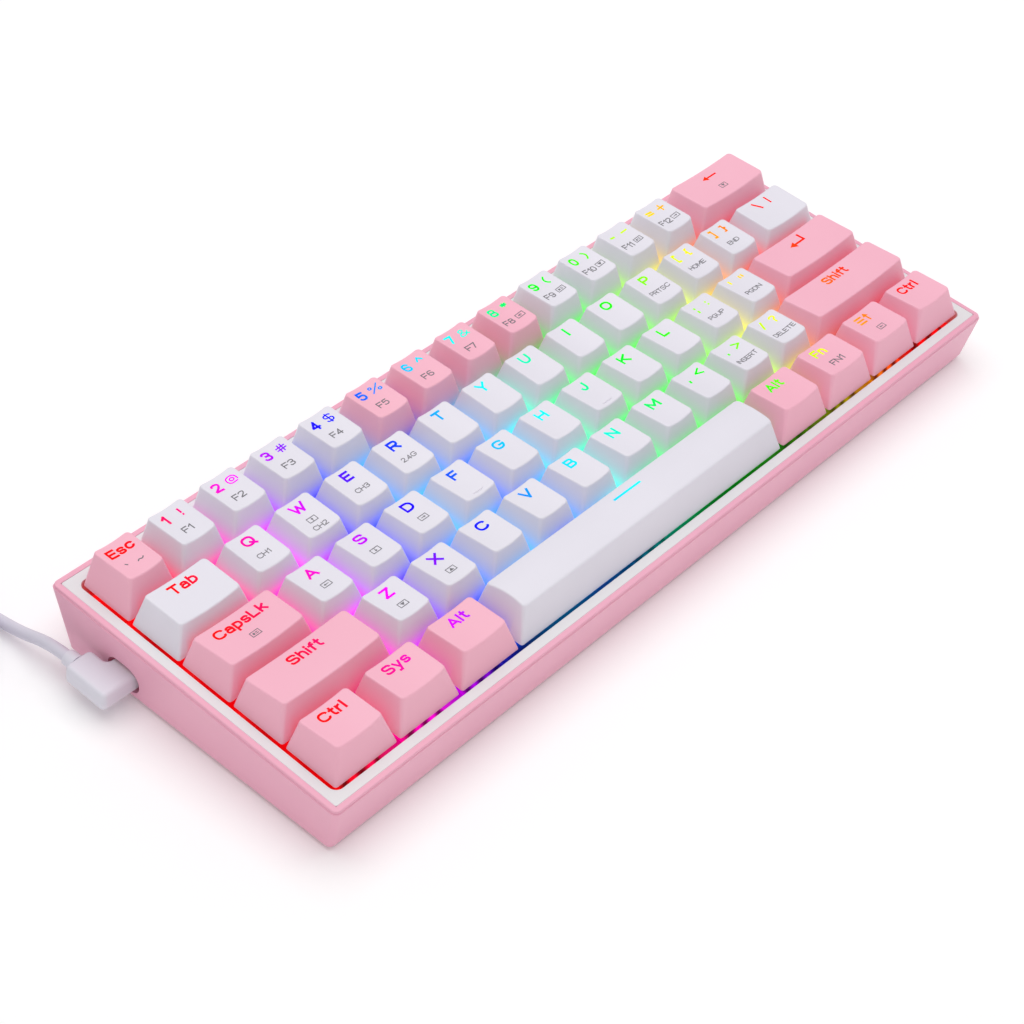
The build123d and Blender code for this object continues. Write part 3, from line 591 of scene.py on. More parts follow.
# ---- studio --------------------------------------------------------------------------------------
@dataclass
class Studio:
    """The camera, one broad overhead softbox, a pale surround and a pale floor."""

    deck: Deck
    eye_mm: tuple = (-439.0, -287.2, 480.2)       # in the deck frame
    target_mm: tuple = (-37.7, -13.65, 10.0)
    roll: float = 6.75                            # degrees, anticlockwise
    lens_mm: float = 84.61
    near_clip: float = 0.01
    softbox_size: float = 1.5
    softbox_place: tuple = (0.1, 0.15, 1.3)
    softbox_power: float = 10.6
    surround: float = 0.55
    surround_colour: str = "#FFFEFC"
    floor_size: float = 6.0
    floor_drop: float = 0.0002

    def build(self) -> None:
        """Make the camera first, then the lights and the floor."""
        self.camera()
        self.lights()
        self.floor()
        bpy.context.scene.view_settings.view_transform = "Standard"
        LOG.info("studio: camera, softbox, surround, floor")

    def camera(self) -> None:
        """Stand the camera at the eye, look at the target and roll it."""
        eye, target = self.deck.place(np.array([self.eye_mm, self.target_mm]))
        data = bpy.data.cameras.new("camera")
        data.lens = self.lens_mm
        data.clip_start = self.near_clip
        camera = bpy.data.objects.new("camera", data)
        bpy.context.scene.collection.objects.link(camera)
        level = Vector(target - eye).to_track_quat("-Z", "Y").to_matrix()
        camera.rotation_euler = (level @ Euler((0, 0, radians(self.roll))).to_matrix()).to_euler()
        camera.location = eye
        bpy.context.scene.camera = camera

    def lights(self) -> None:
        """Hang the softbox flat over the table and light the surround evenly."""
        data = bpy.data.lights.new("softbox", "AREA")
        data.size = self.softbox_size
        data.energy = self.softbox_power
        softbox = bpy.data.objects.new("softbox", data)
        softbox.location = self.softbox_place
        bpy.context.scene.collection.objects.link(softbox)
        world = bpy.data.worlds.new("surround")
        world.use_nodes = True
        light = world.node_tree.nodes["Background"]
        light.inputs["Color"].default_value = linear(self.surround_colour)
        light.inputs["Strength"].default_value = self.surround
        bpy.context.scene.world = world

    def floor(self) -> None:
        """Lay a pale light table under everything."""
        half = self.floor_size / 2
        low = -self.floor_drop
        mesh = bpy.data.meshes.new("floor")
        mesh.from_pydata([(-half, -half, low), (half, -half, low), (half, half, low), (-half, half, low)], [],
                         [(0, 1, 2, 3)])
        mesh.materials.append(LightTable("opal acrylic light table").build())
        floor = bpy.data.objects.new("floor", mesh)
        bpy.context.scene.collection.objects.link(floor)


# ---- lead ----------------------------------------------------------------------------------------
@dataclass
class Lead:
    """The lead: out of the plug's collar, down to the table, twelve tied turns, and the far plug.

    Places and sizes are in metres in the row frame, and a plug's sections in mm.
    """

    jacket: bpy.types.Material
    moulding: bpy.types.Material
    strap: bpy.types.Material
    metal: bpy.types.Material
    tongue: bpy.types.Material
    radius: float = 0.0018
    exit: tuple = (-0.15378, 0.04066, 0.00854)
    lead_out: tuple = ((-0.1541, 0.0474, 0.0091), (-0.1542, 0.0596, 0.0042), (-0.1545, 0.074, 0.0019),
                       (-0.1552, 0.0845, 0.0023))
    lead_tail: tuple = ((-0.180, 0.109, 0.0131), (-0.192, 0.1084, 0.0127), (-0.2035, 0.1045, 0.0098),
                        (-0.2125, 0.097, 0.006), (-0.217, 0.0865, 0.004), (-0.217, 0.076, 0.004))
    coil_centre: tuple = (-0.180, 0.084)
    outer_turn: float = 0.025
    inner_turn: float = 0.0146
    first_layer: float = 0.0023
    layers: int = 4
    turns: float = 12.25
    climb: float = 0.25           # part of a turn over which the cord goes up to the next layer
    points_per_turn: int = 24
    straps: int = 3
    first_strap: float = 30.0     # degrees round the coil
    strap_thickness: float = 0.0005
    strap_angle: float = 20.0     # degrees of the coil that each strap covers
    strap_steps: int = 6
    tongue_rise: float = 0.0009   # the tongue's middle over the far plug's
    ribs: int = 4
    rib_pitch: float = 1.4

    def coil(self) -> np.ndarray:
        """Control points of the turns: flat spirals in and out by turns, joined by short climbs.

        Radius and height are straight lines between the knots of the winding, against the angle wound.
        The radius is divided by the cosine of half a step, because the smooth line cuts inside its points.

        Returns:
            An (n, 3) array in metres.
        """
        spiral = (self.turns - (self.layers - 1) * self.climb) / self.layers
        knots, radii, heights = [], [], []
        for layer in range(self.layers):
            start = layer * (spiral + self.climb)
            ends = [self.outer_turn, self.inner_turn]
            knots += [start, start + spiral]
            radii += ends if layer % 2 == 0 else ends[::-1]
            heights += [self.first_layer + 2 * self.radius * layer] * 2
        wound = np.arange(1, int(self.turns * self.points_per_turn)) / self.points_per_turn
        reach = np.interp(wound, knots, radii) / cos(pi / self.points_per_turn)
        angle = 2 * pi * wound
        x, y = self.coil_centre
        return np.stack([x + reach * np.cos(angle), y + reach * np.sin(angle),
                         np.interp(wound, knots, heights)], 1)

    def build(self) -> None:
        """Lay the cord, tie it, and fit the far plug."""
        points = [self.exit, *self.lead_out, *self.coil(), *self.lead_tail]
        curve = bpy.data.curves.new("lead", "CURVE")
        curve.dimensions = "3D"
        spline = curve.splines.new("NURBS")
        spline.points.add(len(points) - 1)
        for slot, point in zip(spline.points, points):
            slot.co = (*point, 1.0)
        spline.order_u = 3
        spline.use_endpoint_u = True
        curve.resolution_u = 5
        curve.bevel_depth = self.radius
        curve.bevel_resolution = 4
        curve.use_fill_caps = True
        curve.materials.append(self.jacket)
        cord = bpy.data.objects.new("lead", curve)
        bpy.context.scene.collection.objects.link(cord)
        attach(cord, "root")
        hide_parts("usb_cable", "cable_coil")
        angles = radians(self.first_strap) + 2 * pi / self.straps * np.arange(self.straps)
        extras = [self.tie("strap_" + str(i), angle) for i, angle in enumerate(angles)] + self.far_plug()
        LOG.info("lead: %d control points, %d straps", len(points), self.straps)

    def tie(self, name: str, angle: float) -> bpy.types.Object:
        """Wrap one hook-and-loop strap round the bundle of turns.

        The strap's outline is a rounded rectangle in the plane of radius and height, and its width runs
        along the coil, so a point is (radius, height) turned to its own angle about the coil's middle.

        Args:
            name: the piece's name.
            angle: where on the coil it sits, in radians.

        Returns:
            The strap, a closed band.
        """
        signs, directions = rounded_template(6, 6, 5)
        rise = (self.layers - 1) * self.radius
        middle = np.array([(self.outer_turn + self.inner_turn) / 2, self.first_layer + rise])
        half = np.array([(self.outer_turn - self.inner_turn) / 2, rise])
        inner = middle + signs * half + directions * self.radius
        outer = inner + directions * self.strap_thickness
        spread = np.radians(np.linspace(-self.strap_angle / 2, self.strap_angle / 2, self.strap_steps))
        turns = angle + np.concatenate([spread, spread[::-1]])[:, None]
        depth = np.repeat([0.0, 1.0], self.strap_steps)[:, None, None]
        section = inner + depth * (outer - inner)
        x, y = self.coil_centre
        points = np.stack([x + section[..., 0] * np.cos(turns), y + section[..., 0] * np.sin(turns),
                           section[..., 1]], -1)
        across, around = points.shape[:2]
        i, j = np.meshgrid(np.arange(across), np.arange(around), indexing="ij")
        k, m = (i + 1) % across, (j + 1) % around
        faces = np.stack([i * around + j, k * around + j, k * around + m, i * around + m], -1).reshape(-1, 4)
        strap = add_piece(name, points.reshape(-1, 3), faces.tolist(), [self.strap], "root")
        return strap

    def far_plug(self) -> list[bpy.types.Object]:
        """Make the far plug: a ribbed moulding, a rolled shell and the tongue inside it.

        Returns:
            Its three pieces.
        """
        ribs = [section for i in range(self.ribs) for section in self.rib(11.0 + i * self.rib_pitch)]
        moulding = self.loft("far_plug_moulding", 0, self.moulding, [
            (0.0, 2.5, 2.5, 2.4), (0.5, 2.8, 2.8, 2.7), (3.0, 3.0, 3.0, 2.9), (5.0, 4.2, 3.4, 2.9),
            (7.0, 6.6, 3.8, 2.6), (9.0, 7.6, 4.0, 2.2), *ribs, (17.5, 8.0, 4.0, 2.0), (27.2, 8.0, 4.0, 2.0),
            (27.8, 7.7, 3.7, 1.8), (28.0, 7.2, 3.2, 1.6)])
        shell = self.loft("far_plug_shell", 0, self.metal, [
            (27.0, 6.0, 2.25, 0.6), (39.6, 6.0, 2.25, 0.6), (39.8, 5.85, 2.1, 0.5), (39.6, 5.7, 1.95, 0.4),
            (28.5, 5.7, 1.95, 0.4)])
        tongue = self.loft("far_plug_tongue", self.tongue_rise, self.tongue, [
            (28.3, 5.5, 0.9, 0.1), (38.8, 5.5, 0.9, 0.1), (39.0, 5.4, 0.8, 0.1)])
        pieces = [moulding, shell, tongue]
        for piece, slot in zip(pieces, ("lead_moulding", "port_shell", "lead_moulding")):
            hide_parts("usb_a_plug")
        return pieces

    def rib(self, at: float) -> list[tuple]:
        """Sections of one shallow grip groove across the moulding, at mm from the cord's end."""
        return [(at, 8.0, 4.0, 2.0), (at + 0.2, 7.6, 3.65, 1.9), (at + 0.7, 7.6, 3.65, 1.9),
                (at + 0.9, 8.0, 4.0, 2.0)]

    def loft(self, name: str, rise: float, material: bpy.types.Material,
             sections: list[tuple]) -> bpy.types.Object:
        """Close a skin over rounded rectangles that stand across -y, from the cord's last point.

        Args:
            name: the piece's name.
            rise: height of every section's middle over the cord's last point, in metres.
            material: its finish.
            sections: (distance along -y, half width, half height, corner radius), in mm.

        Returns:
            The closed piece.
        """
        signs, directions = rounded_template(6, 3, 4)
        x, y, z = np.array(self.lead_tail[-1]) + np.array([0, 0, rise])
        table = np.array(sections)[:, None, :]
        flat = signs * (table[..., 1:3] - table[..., 3:4]) + directions * table[..., 3:4]
        along = y - table[..., 0] * MM
        rings = np.stack([x - flat[..., 0] * MM, np.broadcast_to(along, flat.shape[:2]),
                          z + flat[..., 1] * MM], -1)
        poles = np.array([[x, along[0, 0], z], [x, along[-1, 0], z]])
        faces = skin(len(sections), len(signs))
        points = np.concatenate([rings.reshape(-1, 3), poles])
        return add_piece(name, points, [face[::-1] for face in faces], [material], "root", crease=50)


# ---- keys ----------------------------------------------------------------------------------------
@dataclass(frozen=True)
class Profile:
    """Side view of one row's caps: how far the top's front and back edges stand in, and how high, in mm."""

    front_inset: float
    front_height: float
    back_inset: float
    back_height: float

    @property
    def height(self) -> float:
        """Mean height of the top's edges."""
        return (self.front_height + self.back_height) / 2


class Row(Enum):
    """The five rows, back to front."""

    NUMBER = Profile(3.2, 11.8, 0.5, 11.1)
    TOP = Profile(2.9, 9.8, 1.1, 9.7)
    HOME = Profile(3.1, 9.9, 0.7, 8.6)
    BOTTOM = Profile(3.4, 10.7, 0.8, 9.1)
    THUMB = Profile(3.6, 10.4, 0.95, 9.3)


class Shade(Enum):
    """The two cap colours, each with the record's slot."""

    PINK = "pink_caps"
    WHITE = "white_caps"


class Sign(Enum):
    """Drawn signs, each a list of outlines in mm about its own middle."""

    NONE = ()
    BACK_ARROW = (((-3.4, 0), (-1.2, 1.1), (-1.2, 0.28), (3.4, 0.28), (3.4, -0.28), (-1.2, -0.28),
                   (-1.2, -1.1)),)
    RETURN_ARROW = (((-3.9, -0.91), (-1.17, 0.45), (-1.17, -0.55), (2.99, -0.55), (2.99, 2.21), (3.77, 2.21),
                     (3.77, -1.27), (-1.17, -1.27), (-1.17, -2.27)),)
    DASH = (((-5.9, -0.38), (5.9, -0.38), (5.9, 0.38), (-5.9, 0.38)),)
    MENU = (((-2.86, 1.69), (0.78, 1.69), (0.78, 1.04), (-2.86, 1.04)),
            ((-2.86, 0.39), (0.78, 0.39), (0.78, -0.26), (-2.86, -0.26)),
            ((-2.86, -0.91), (0.78, -0.91), (0.78, -1.56), (-2.86, -1.56)),
            ((1.3, 0.52), (2.47, 2.08), (3.64, 0.52), (2.79, 0.52), (2.79, -1.56), (2.15, -1.56),
             (2.15, 0.52)))
    UP = (((-0.75, -0.45), (0.75, -0.45), (0, 0.55)),)
    DOWN = (((-0.75, 0.45), (0, -0.55), (0.75, 0.45)),)
    UP_ARROW = (((-0.12, -0.6), (0.12, -0.6), (0.12, 0.05), (0.45, 0.05), (0, 0.6), (-0.45, 0.05),
                 (-0.12, 0.05)),)
    DOWN_ARROW = (((-0.12, 0.6), (-0.12, -0.05), (-0.45, -0.05), (0, -0.6), (0.45, -0.05), (0.12, -0.05),
                   (0.12, 0.6)),)
    LEFT_ARROW = (((-0.9, 0), (-0.3, 0.4), (-0.3, 0.1), (0.8, 0.1), (0.8, -0.1), (-0.3, -0.1), (-0.3, -0.4)),)
    RIGHT_ARROW = (((0.9, 0), (0.3, -0.4), (0.3, -0.1), (-0.8, -0.1), (-0.8, 0.1), (0.3, 0.1), (0.3, 0.4)),)
    SPEAKER = (((-0.7, -0.2), (-0.35, -0.2), (0.1, -0.5), (0.1, 0.5), (-0.35, 0.2), (-0.7, 0.2)),
               ((0.4, -0.35), (0.55, -0.35), (0.55, 0.35), (0.4, 0.35)))
    BLOCKS = (((-0.9, -0.35), (-0.3, -0.35), (-0.3, 0.35), (-0.9, 0.35)),
              ((0.0, -0.35), (0.9, -0.35), (0.9, -0.15), (0.0, -0.15)),
              ((0.0, 0.15), (0.9, 0.15), (0.9, 0.35), (0.0, 0.35)))


@dataclass(frozen=True)
class Key:
    """One key: its width in pitches, colour and legends."""

    name: str
    main: str = ""
    second: str = ""
    small: str = ""
    boxed: Sign = Sign.NONE
    sign: Sign = Sign.NONE
    units: float = 1.0
    shade: Shade = Shade.WHITE
    shift: float = 0.0       # mm that the main legend stands right of the middle
    bar: bool = False        # a raised bar for the finger to find


def letters(codes: str, notes: dict | None = None) -> list[Key]:
    """Plain letter keys in a run, with the small legend and boxed sign of those that have them."""
    notes = notes or {}
    return [Key("key_" + c.lower(), c, small=notes.get(c, ("", Sign.NONE))[0],
                boxed=notes.get(c, ("", Sign.NONE))[1], bar=c in "FJ") for c in codes]


def signs_group(pairs: str, smalls: list[str], boxed: dict | None = None, pink: str = "") -> list[Key]:
    """Keys of the shared group: each pair is the plain and the shifted sign."""
    boxed = boxed or {}
    keys = []
    for index, small in enumerate(smalls):
        plain, shifted = pairs[2 * index:2 * index + 2]
        keys.append(Key("key_group_digits_symbols", plain, shifted, small, boxed.get(plain, Sign.NONE),
                        shade=Shade.PINK if plain in pink else Shade.WHITE))
    return keys


def wide(name: str, main: str, units: float, shade: Shade = Shade.PINK, **more) -> Key:
    """A key wider than one pitch."""
    return Key("key_" + name, main, units=units, shade=shade, **more)


LAYOUT: dict[Row, list[Key]] = {
    Row.NUMBER: [Key("key_escape", "Esc", small="`  ~", shade=Shade.PINK)] + signs_group(
        "1!2@3#4$5%6^7&8*9(0)-_=+", ["F" + str(i) for i in range(1, 13)],
        {"8": Sign.SPEAKER, "9": Sign.BLOCKS, "0": Sign.DOWN, "-": Sign.BLOCKS, "=": Sign.RIGHT_ARROW},
        "5678")
    + [wide("backspace", "", 2, sign=Sign.BACK_ARROW, boxed=Sign.DOWN)],
    Row.TOP: [wide("tab", "Tab", 1.5, Shade.WHITE)] + letters(
        "QWERTYUIOP", {"Q": ("CH1", Sign.NONE), "W": ("CH2", Sign.UP_ARROW), "E": ("CH3", Sign.NONE),
                       "R": ("2.4G", Sign.NONE), "P": ("PRTSC", Sign.NONE)})
    + signs_group("[{]}", ["HOME", "END"]) + [wide("backslash", "\\", 1.5, Shade.WHITE, second="|")],
    Row.HOME: [wide("caps_lock", "CapsLk", 1.75, boxed=Sign.BLOCKS)] + letters(
        "ASDFGHJKL", {"A": ("", Sign.LEFT_ARROW), "S": ("", Sign.DOWN_ARROW), "D": ("", Sign.RIGHT_ARROW)})
    + signs_group(";:'\"", ["PGUP", "PGDN"]) + [wide("enter", "", 2.25, sign=Sign.RETURN_ARROW)],
    Row.BOTTOM: [wide("left_shift", "Shift", 2.25)] + letters(
        "ZXCVBNM", {"Z": ("", Sign.DOWN), "X": ("", Sign.UP)})
    + signs_group(",<.>/?", ["", "INSERT", "DELETE"]) + [wide("right_shift", "Shift", 2.75)],
    Row.THUMB: [wide("left_control", "Ctrl", 1.25), wide("system", "Sys", 1.25),
                wide("left_alt", "Alt", 1.25), wide("space", "", 6.25, Shade.WHITE, sign=Sign.DASH),
                wide("right_alt", "Alt", 1.25, shift=-1.0),
                wide("function", "Fn", 1.25, small="FN1", shift=-1.8),
                wide("menu", "", 1.25, sign=Sign.MENU, boxed=Sign.LEFT_ARROW, shift=-1.8),
                wide("right_control", "Ctrl", 1.25, shift=-1.0)],
}


@dataclass(frozen=True)
class CapForm:
    """The form of one cap over its foot, in mm: leaning sides, rounded top edge, dished or crowned top."""

    profile: Profile
    units: float
    pitch: float
    gap: float = 1.0
    side_inset: float = 3.0
    foot_radius: float = 0.8
    top_radius: float = 1.5
    blank_extra: float = 2.5     # height over the top at which the top radius is reached
    dish: float = 0.7
    crown_radius: float = 24.0
    wall: float = 1.3
    roof: float = 1.5
    edge: float = 0.5            # size of the rounding between the top and the sides
    foot_edge: float = 0.12
    post_radius: float = 2.65
    post_sides: int = 48
    socket_depth: float = 3.8
    socket_length: float = 4.16
    socket_width: float = 1.36
    wide_from: float = 2.0       # pitches from which a cap has stabilisers
    long_from: float = 3.0       # and past which it is the space bar
    stabiliser_x: float = 11.94  # a stabiliser stem's distance from the middle
    long_stabiliser_x: float = 50.0
    top_rings: tuple = (0.2, 0.45, 0.7, 0.88)    # shares of the way from the top's middle to its edge
    side_rings: tuple = (0.6, 0.3)               # shares of the cap's height
    edge_steps: int = 6
    rim_rounds: int = 8          # times that the top edge's height is worked out anew
    pitch_steps: int = 6         # points along the front in each pitch
    least_steps: int = 8

    @property
    def half(self) -> float:
        """Half the foot's width."""
        return (self.units * self.pitch - self.gap) / 2

    @property
    def foot_y(self) -> float:
        """Half the foot's depth."""
        return (self.pitch - self.gap) / 2

    @property
    def crowned(self) -> bool:
        """The longest key is rounded over instead of dished."""
        return self.units > self.long_from

    def ends(self) -> tuple[float, float]:
        """y of the top's front and back edges."""
        return -self.foot_y + self.profile.front_inset, self.foot_y - self.profile.back_inset

    def top(self, x: np.ndarray, y: np.ndarray) -> np.ndarray:
        """Height of the top: a sloping line from back to front, less a round dish, or plus a round crown.

        The dish is a circle's arc across x through both side edges, dish deep in the middle.  The crown
        is an arc of the crown radius across y through the front and back edges.

        Args:
            x: places across the cap, in mm from its middle.
            y: places along it.

        Returns:
            The heights over the foot, in mm.
        """
        front, back = self.ends()
        p = self.profile
        line = p.front_height + (p.back_height - p.front_height) * (y - front) / (back - front)
        if self.crowned:
            chord = (back - front) / 2
            across = np.clip(y - (front + back) / 2, -chord - 1, chord + 1)
            square = self.crown_radius ** 2
            return line + np.sqrt(square - across ** 2) - np.sqrt(square - chord ** 2)
        side = self.half - self.side_inset
        radius = (side ** 2 + self.dish ** 2) / (2 * self.dish)
        return line - self.dish + radius - np.sqrt(radius ** 2 - np.clip(x, -side - 1, side + 1) ** 2)

    def outline(self, height: np.ndarray, inset: float, template: tuple,
                radius: float | None = None) -> np.ndarray:
        """Points of the cap's outline at a height for each point, moved in by inset.

        Args:
            height: (n,) heights over the foot.
            inset: how far in from the outer face.
            template: signs and directions of the outline's points.
            radius: corner radius, or None for the cap's own at that height.

        Returns:
            An (n, 2) array of x, y.
        """
        signs, directions = template
        p = self.profile
        front = -self.foot_y + p.front_inset * height / p.front_height
        back = self.foot_y - p.back_inset * height / p.back_height
        side = self.half - self.side_inset * height / p.height
        high = max(p.front_height, p.back_height) + self.blank_extra
        corner = self.foot_radius + (self.top_radius - self.foot_radius) * height / high
        corner = corner if radius is None else np.full_like(height, radius)
        size = np.stack([side, (back - front) / 2], -1) - inset
        middle = np.stack([np.zeros_like(height), (front + back) / 2], -1)
        return middle + signs * (size - corner[..., None]) + directions * corner[..., None]

    def shell(self) -> tuple[np.ndarray, list]:
        """The cap's closed skin, from the middle of the top over the edge, down the sides and up inside.

        The edge is a Bezier arc: (1-t)^2 times a point on the top, 2t(1-t) times the sharp corner and
        t^2 times a point on the side.

        Returns:
            Points in mm about the foot's middle, and faces.
        """
        template = rounded_template(max(self.least_steps, int(self.pitch_steps * self.units)), 6, 5)
        rim = np.full(len(template[0]), self.profile.height)
        for _ in range(self.rim_rounds):
            flat = self.outline(rim, 0, template)
            rim = self.top(flat[:, 0], flat[:, 1])
        flat = self.outline(rim, 0, template)
        middle = np.array([0, sum(self.ends()) / 2])

        def on_top(inset: float, scale: float = 1.0) -> np.ndarray:
            """A ring on the top, inset from the edge and drawn in to the middle by the scale."""
            ring = middle + scale * (self.outline(rim, inset, template) - middle)
            return np.column_stack([ring, self.top(ring[:, 0], ring[:, 1])])

        def on_side(height: np.ndarray, inset: float = 0.0, radius: float | None = None) -> np.ndarray:
            """A ring on the sides at the given heights, inset from the outer face."""
            return np.column_stack([self.outline(height, inset, template, radius), height])

        corner = np.column_stack([flat, rim])
        start, end = on_top(self.edge), on_side(rim - self.edge)
        rings = [on_top(self.edge, share) for share in self.top_rings] + [on_top(2 * self.edge)]
        for t in np.linspace(0, 1, self.edge_steps + 1):
            rings.append((1 - t) ** 2 * start + 2 * t * (1 - t) * corner + t ** 2 * end)
        rings += [on_side(rim - 2 * self.edge)] + [on_side(rim * share) for share in self.side_rings]
        zero = np.zeros_like(rim)
        rings += [on_side(zero + 2 * self.foot_edge), on_side(zero + self.foot_edge)]
        rings += [np.column_stack([self.outline(zero, self.foot_edge, template), zero])]
        inside = self.foot_radius / 2
        rings += [on_side(zero, self.wall, inside), on_side(zero + self.ceiling() / 2, self.wall, inside)]
        rings += [on_side(zero + self.ceiling(), self.wall, inside)]
        crest = float(self.top(np.zeros(1), middle[1:])[0])
        poles = np.array([[0, middle[1], crest], [0, middle[1], self.ceiling()]])
        return np.concatenate(rings + [poles]), skin(len(rings), len(rim))

    def ceiling(self) -> float:
        """Height of the flat inner roof."""
        if self.crowned:
            return min(self.profile.front_height, self.profile.back_height) - self.roof
        return self.profile.back_height - self.dish - self.roof

    def post(self, x: float) -> tuple[np.ndarray, list]:
        """One stem socket: a round post whose bore is a plus.

        The bore's radius at an angle is the larger of two rectangles' reach, one along each axis, where a
        rectangle reaches the smaller of half its length over the cosine and half its width over the sine.

        Args:
            x: how far the post stands from the cap's middle, in mm.

        Returns:
            Points in mm about the foot's middle, and faces.
        """
        angle = np.linspace(0, 2 * pi, self.post_sides, endpoint=False)
        cosine, sine = np.abs(np.cos(angle)) + 1e-9, np.abs(np.sin(angle)) + 1e-9
        long_half, short_half = self.socket_length / 2, self.socket_width / 2
        plus = np.maximum(np.minimum(long_half / cosine, short_half / sine),
                          np.minimum(short_half / cosine, long_half / sine))
        outer = np.full_like(angle, self.post_radius)
        high = self.ceiling() + self.roof / 2
        rings = []
        for radius, z in ((outer, high), (outer, 0.0), (plus, 0.0), (plus, self.socket_depth)):
            ring = [x + radius * np.cos(angle), radius * np.sin(angle), np.full_like(angle, z)]
            rings.append(np.column_stack(ring))
        poles = np.array([[x, 0, high], [x, 0, self.socket_depth]])
        return np.concatenate(rings + [poles]), skin(len(rings), self.post_sides)

    def posts(self) -> list[float]:
        """x of each socket: the middle one, and two at the stabilisers of a wide key."""
        if self.units < self.wide_from:
            return [0.0]
        offset = self.long_stabiliser_x if self.crowned else self.stabiliser_x
        return [-offset, 0.0, offset]


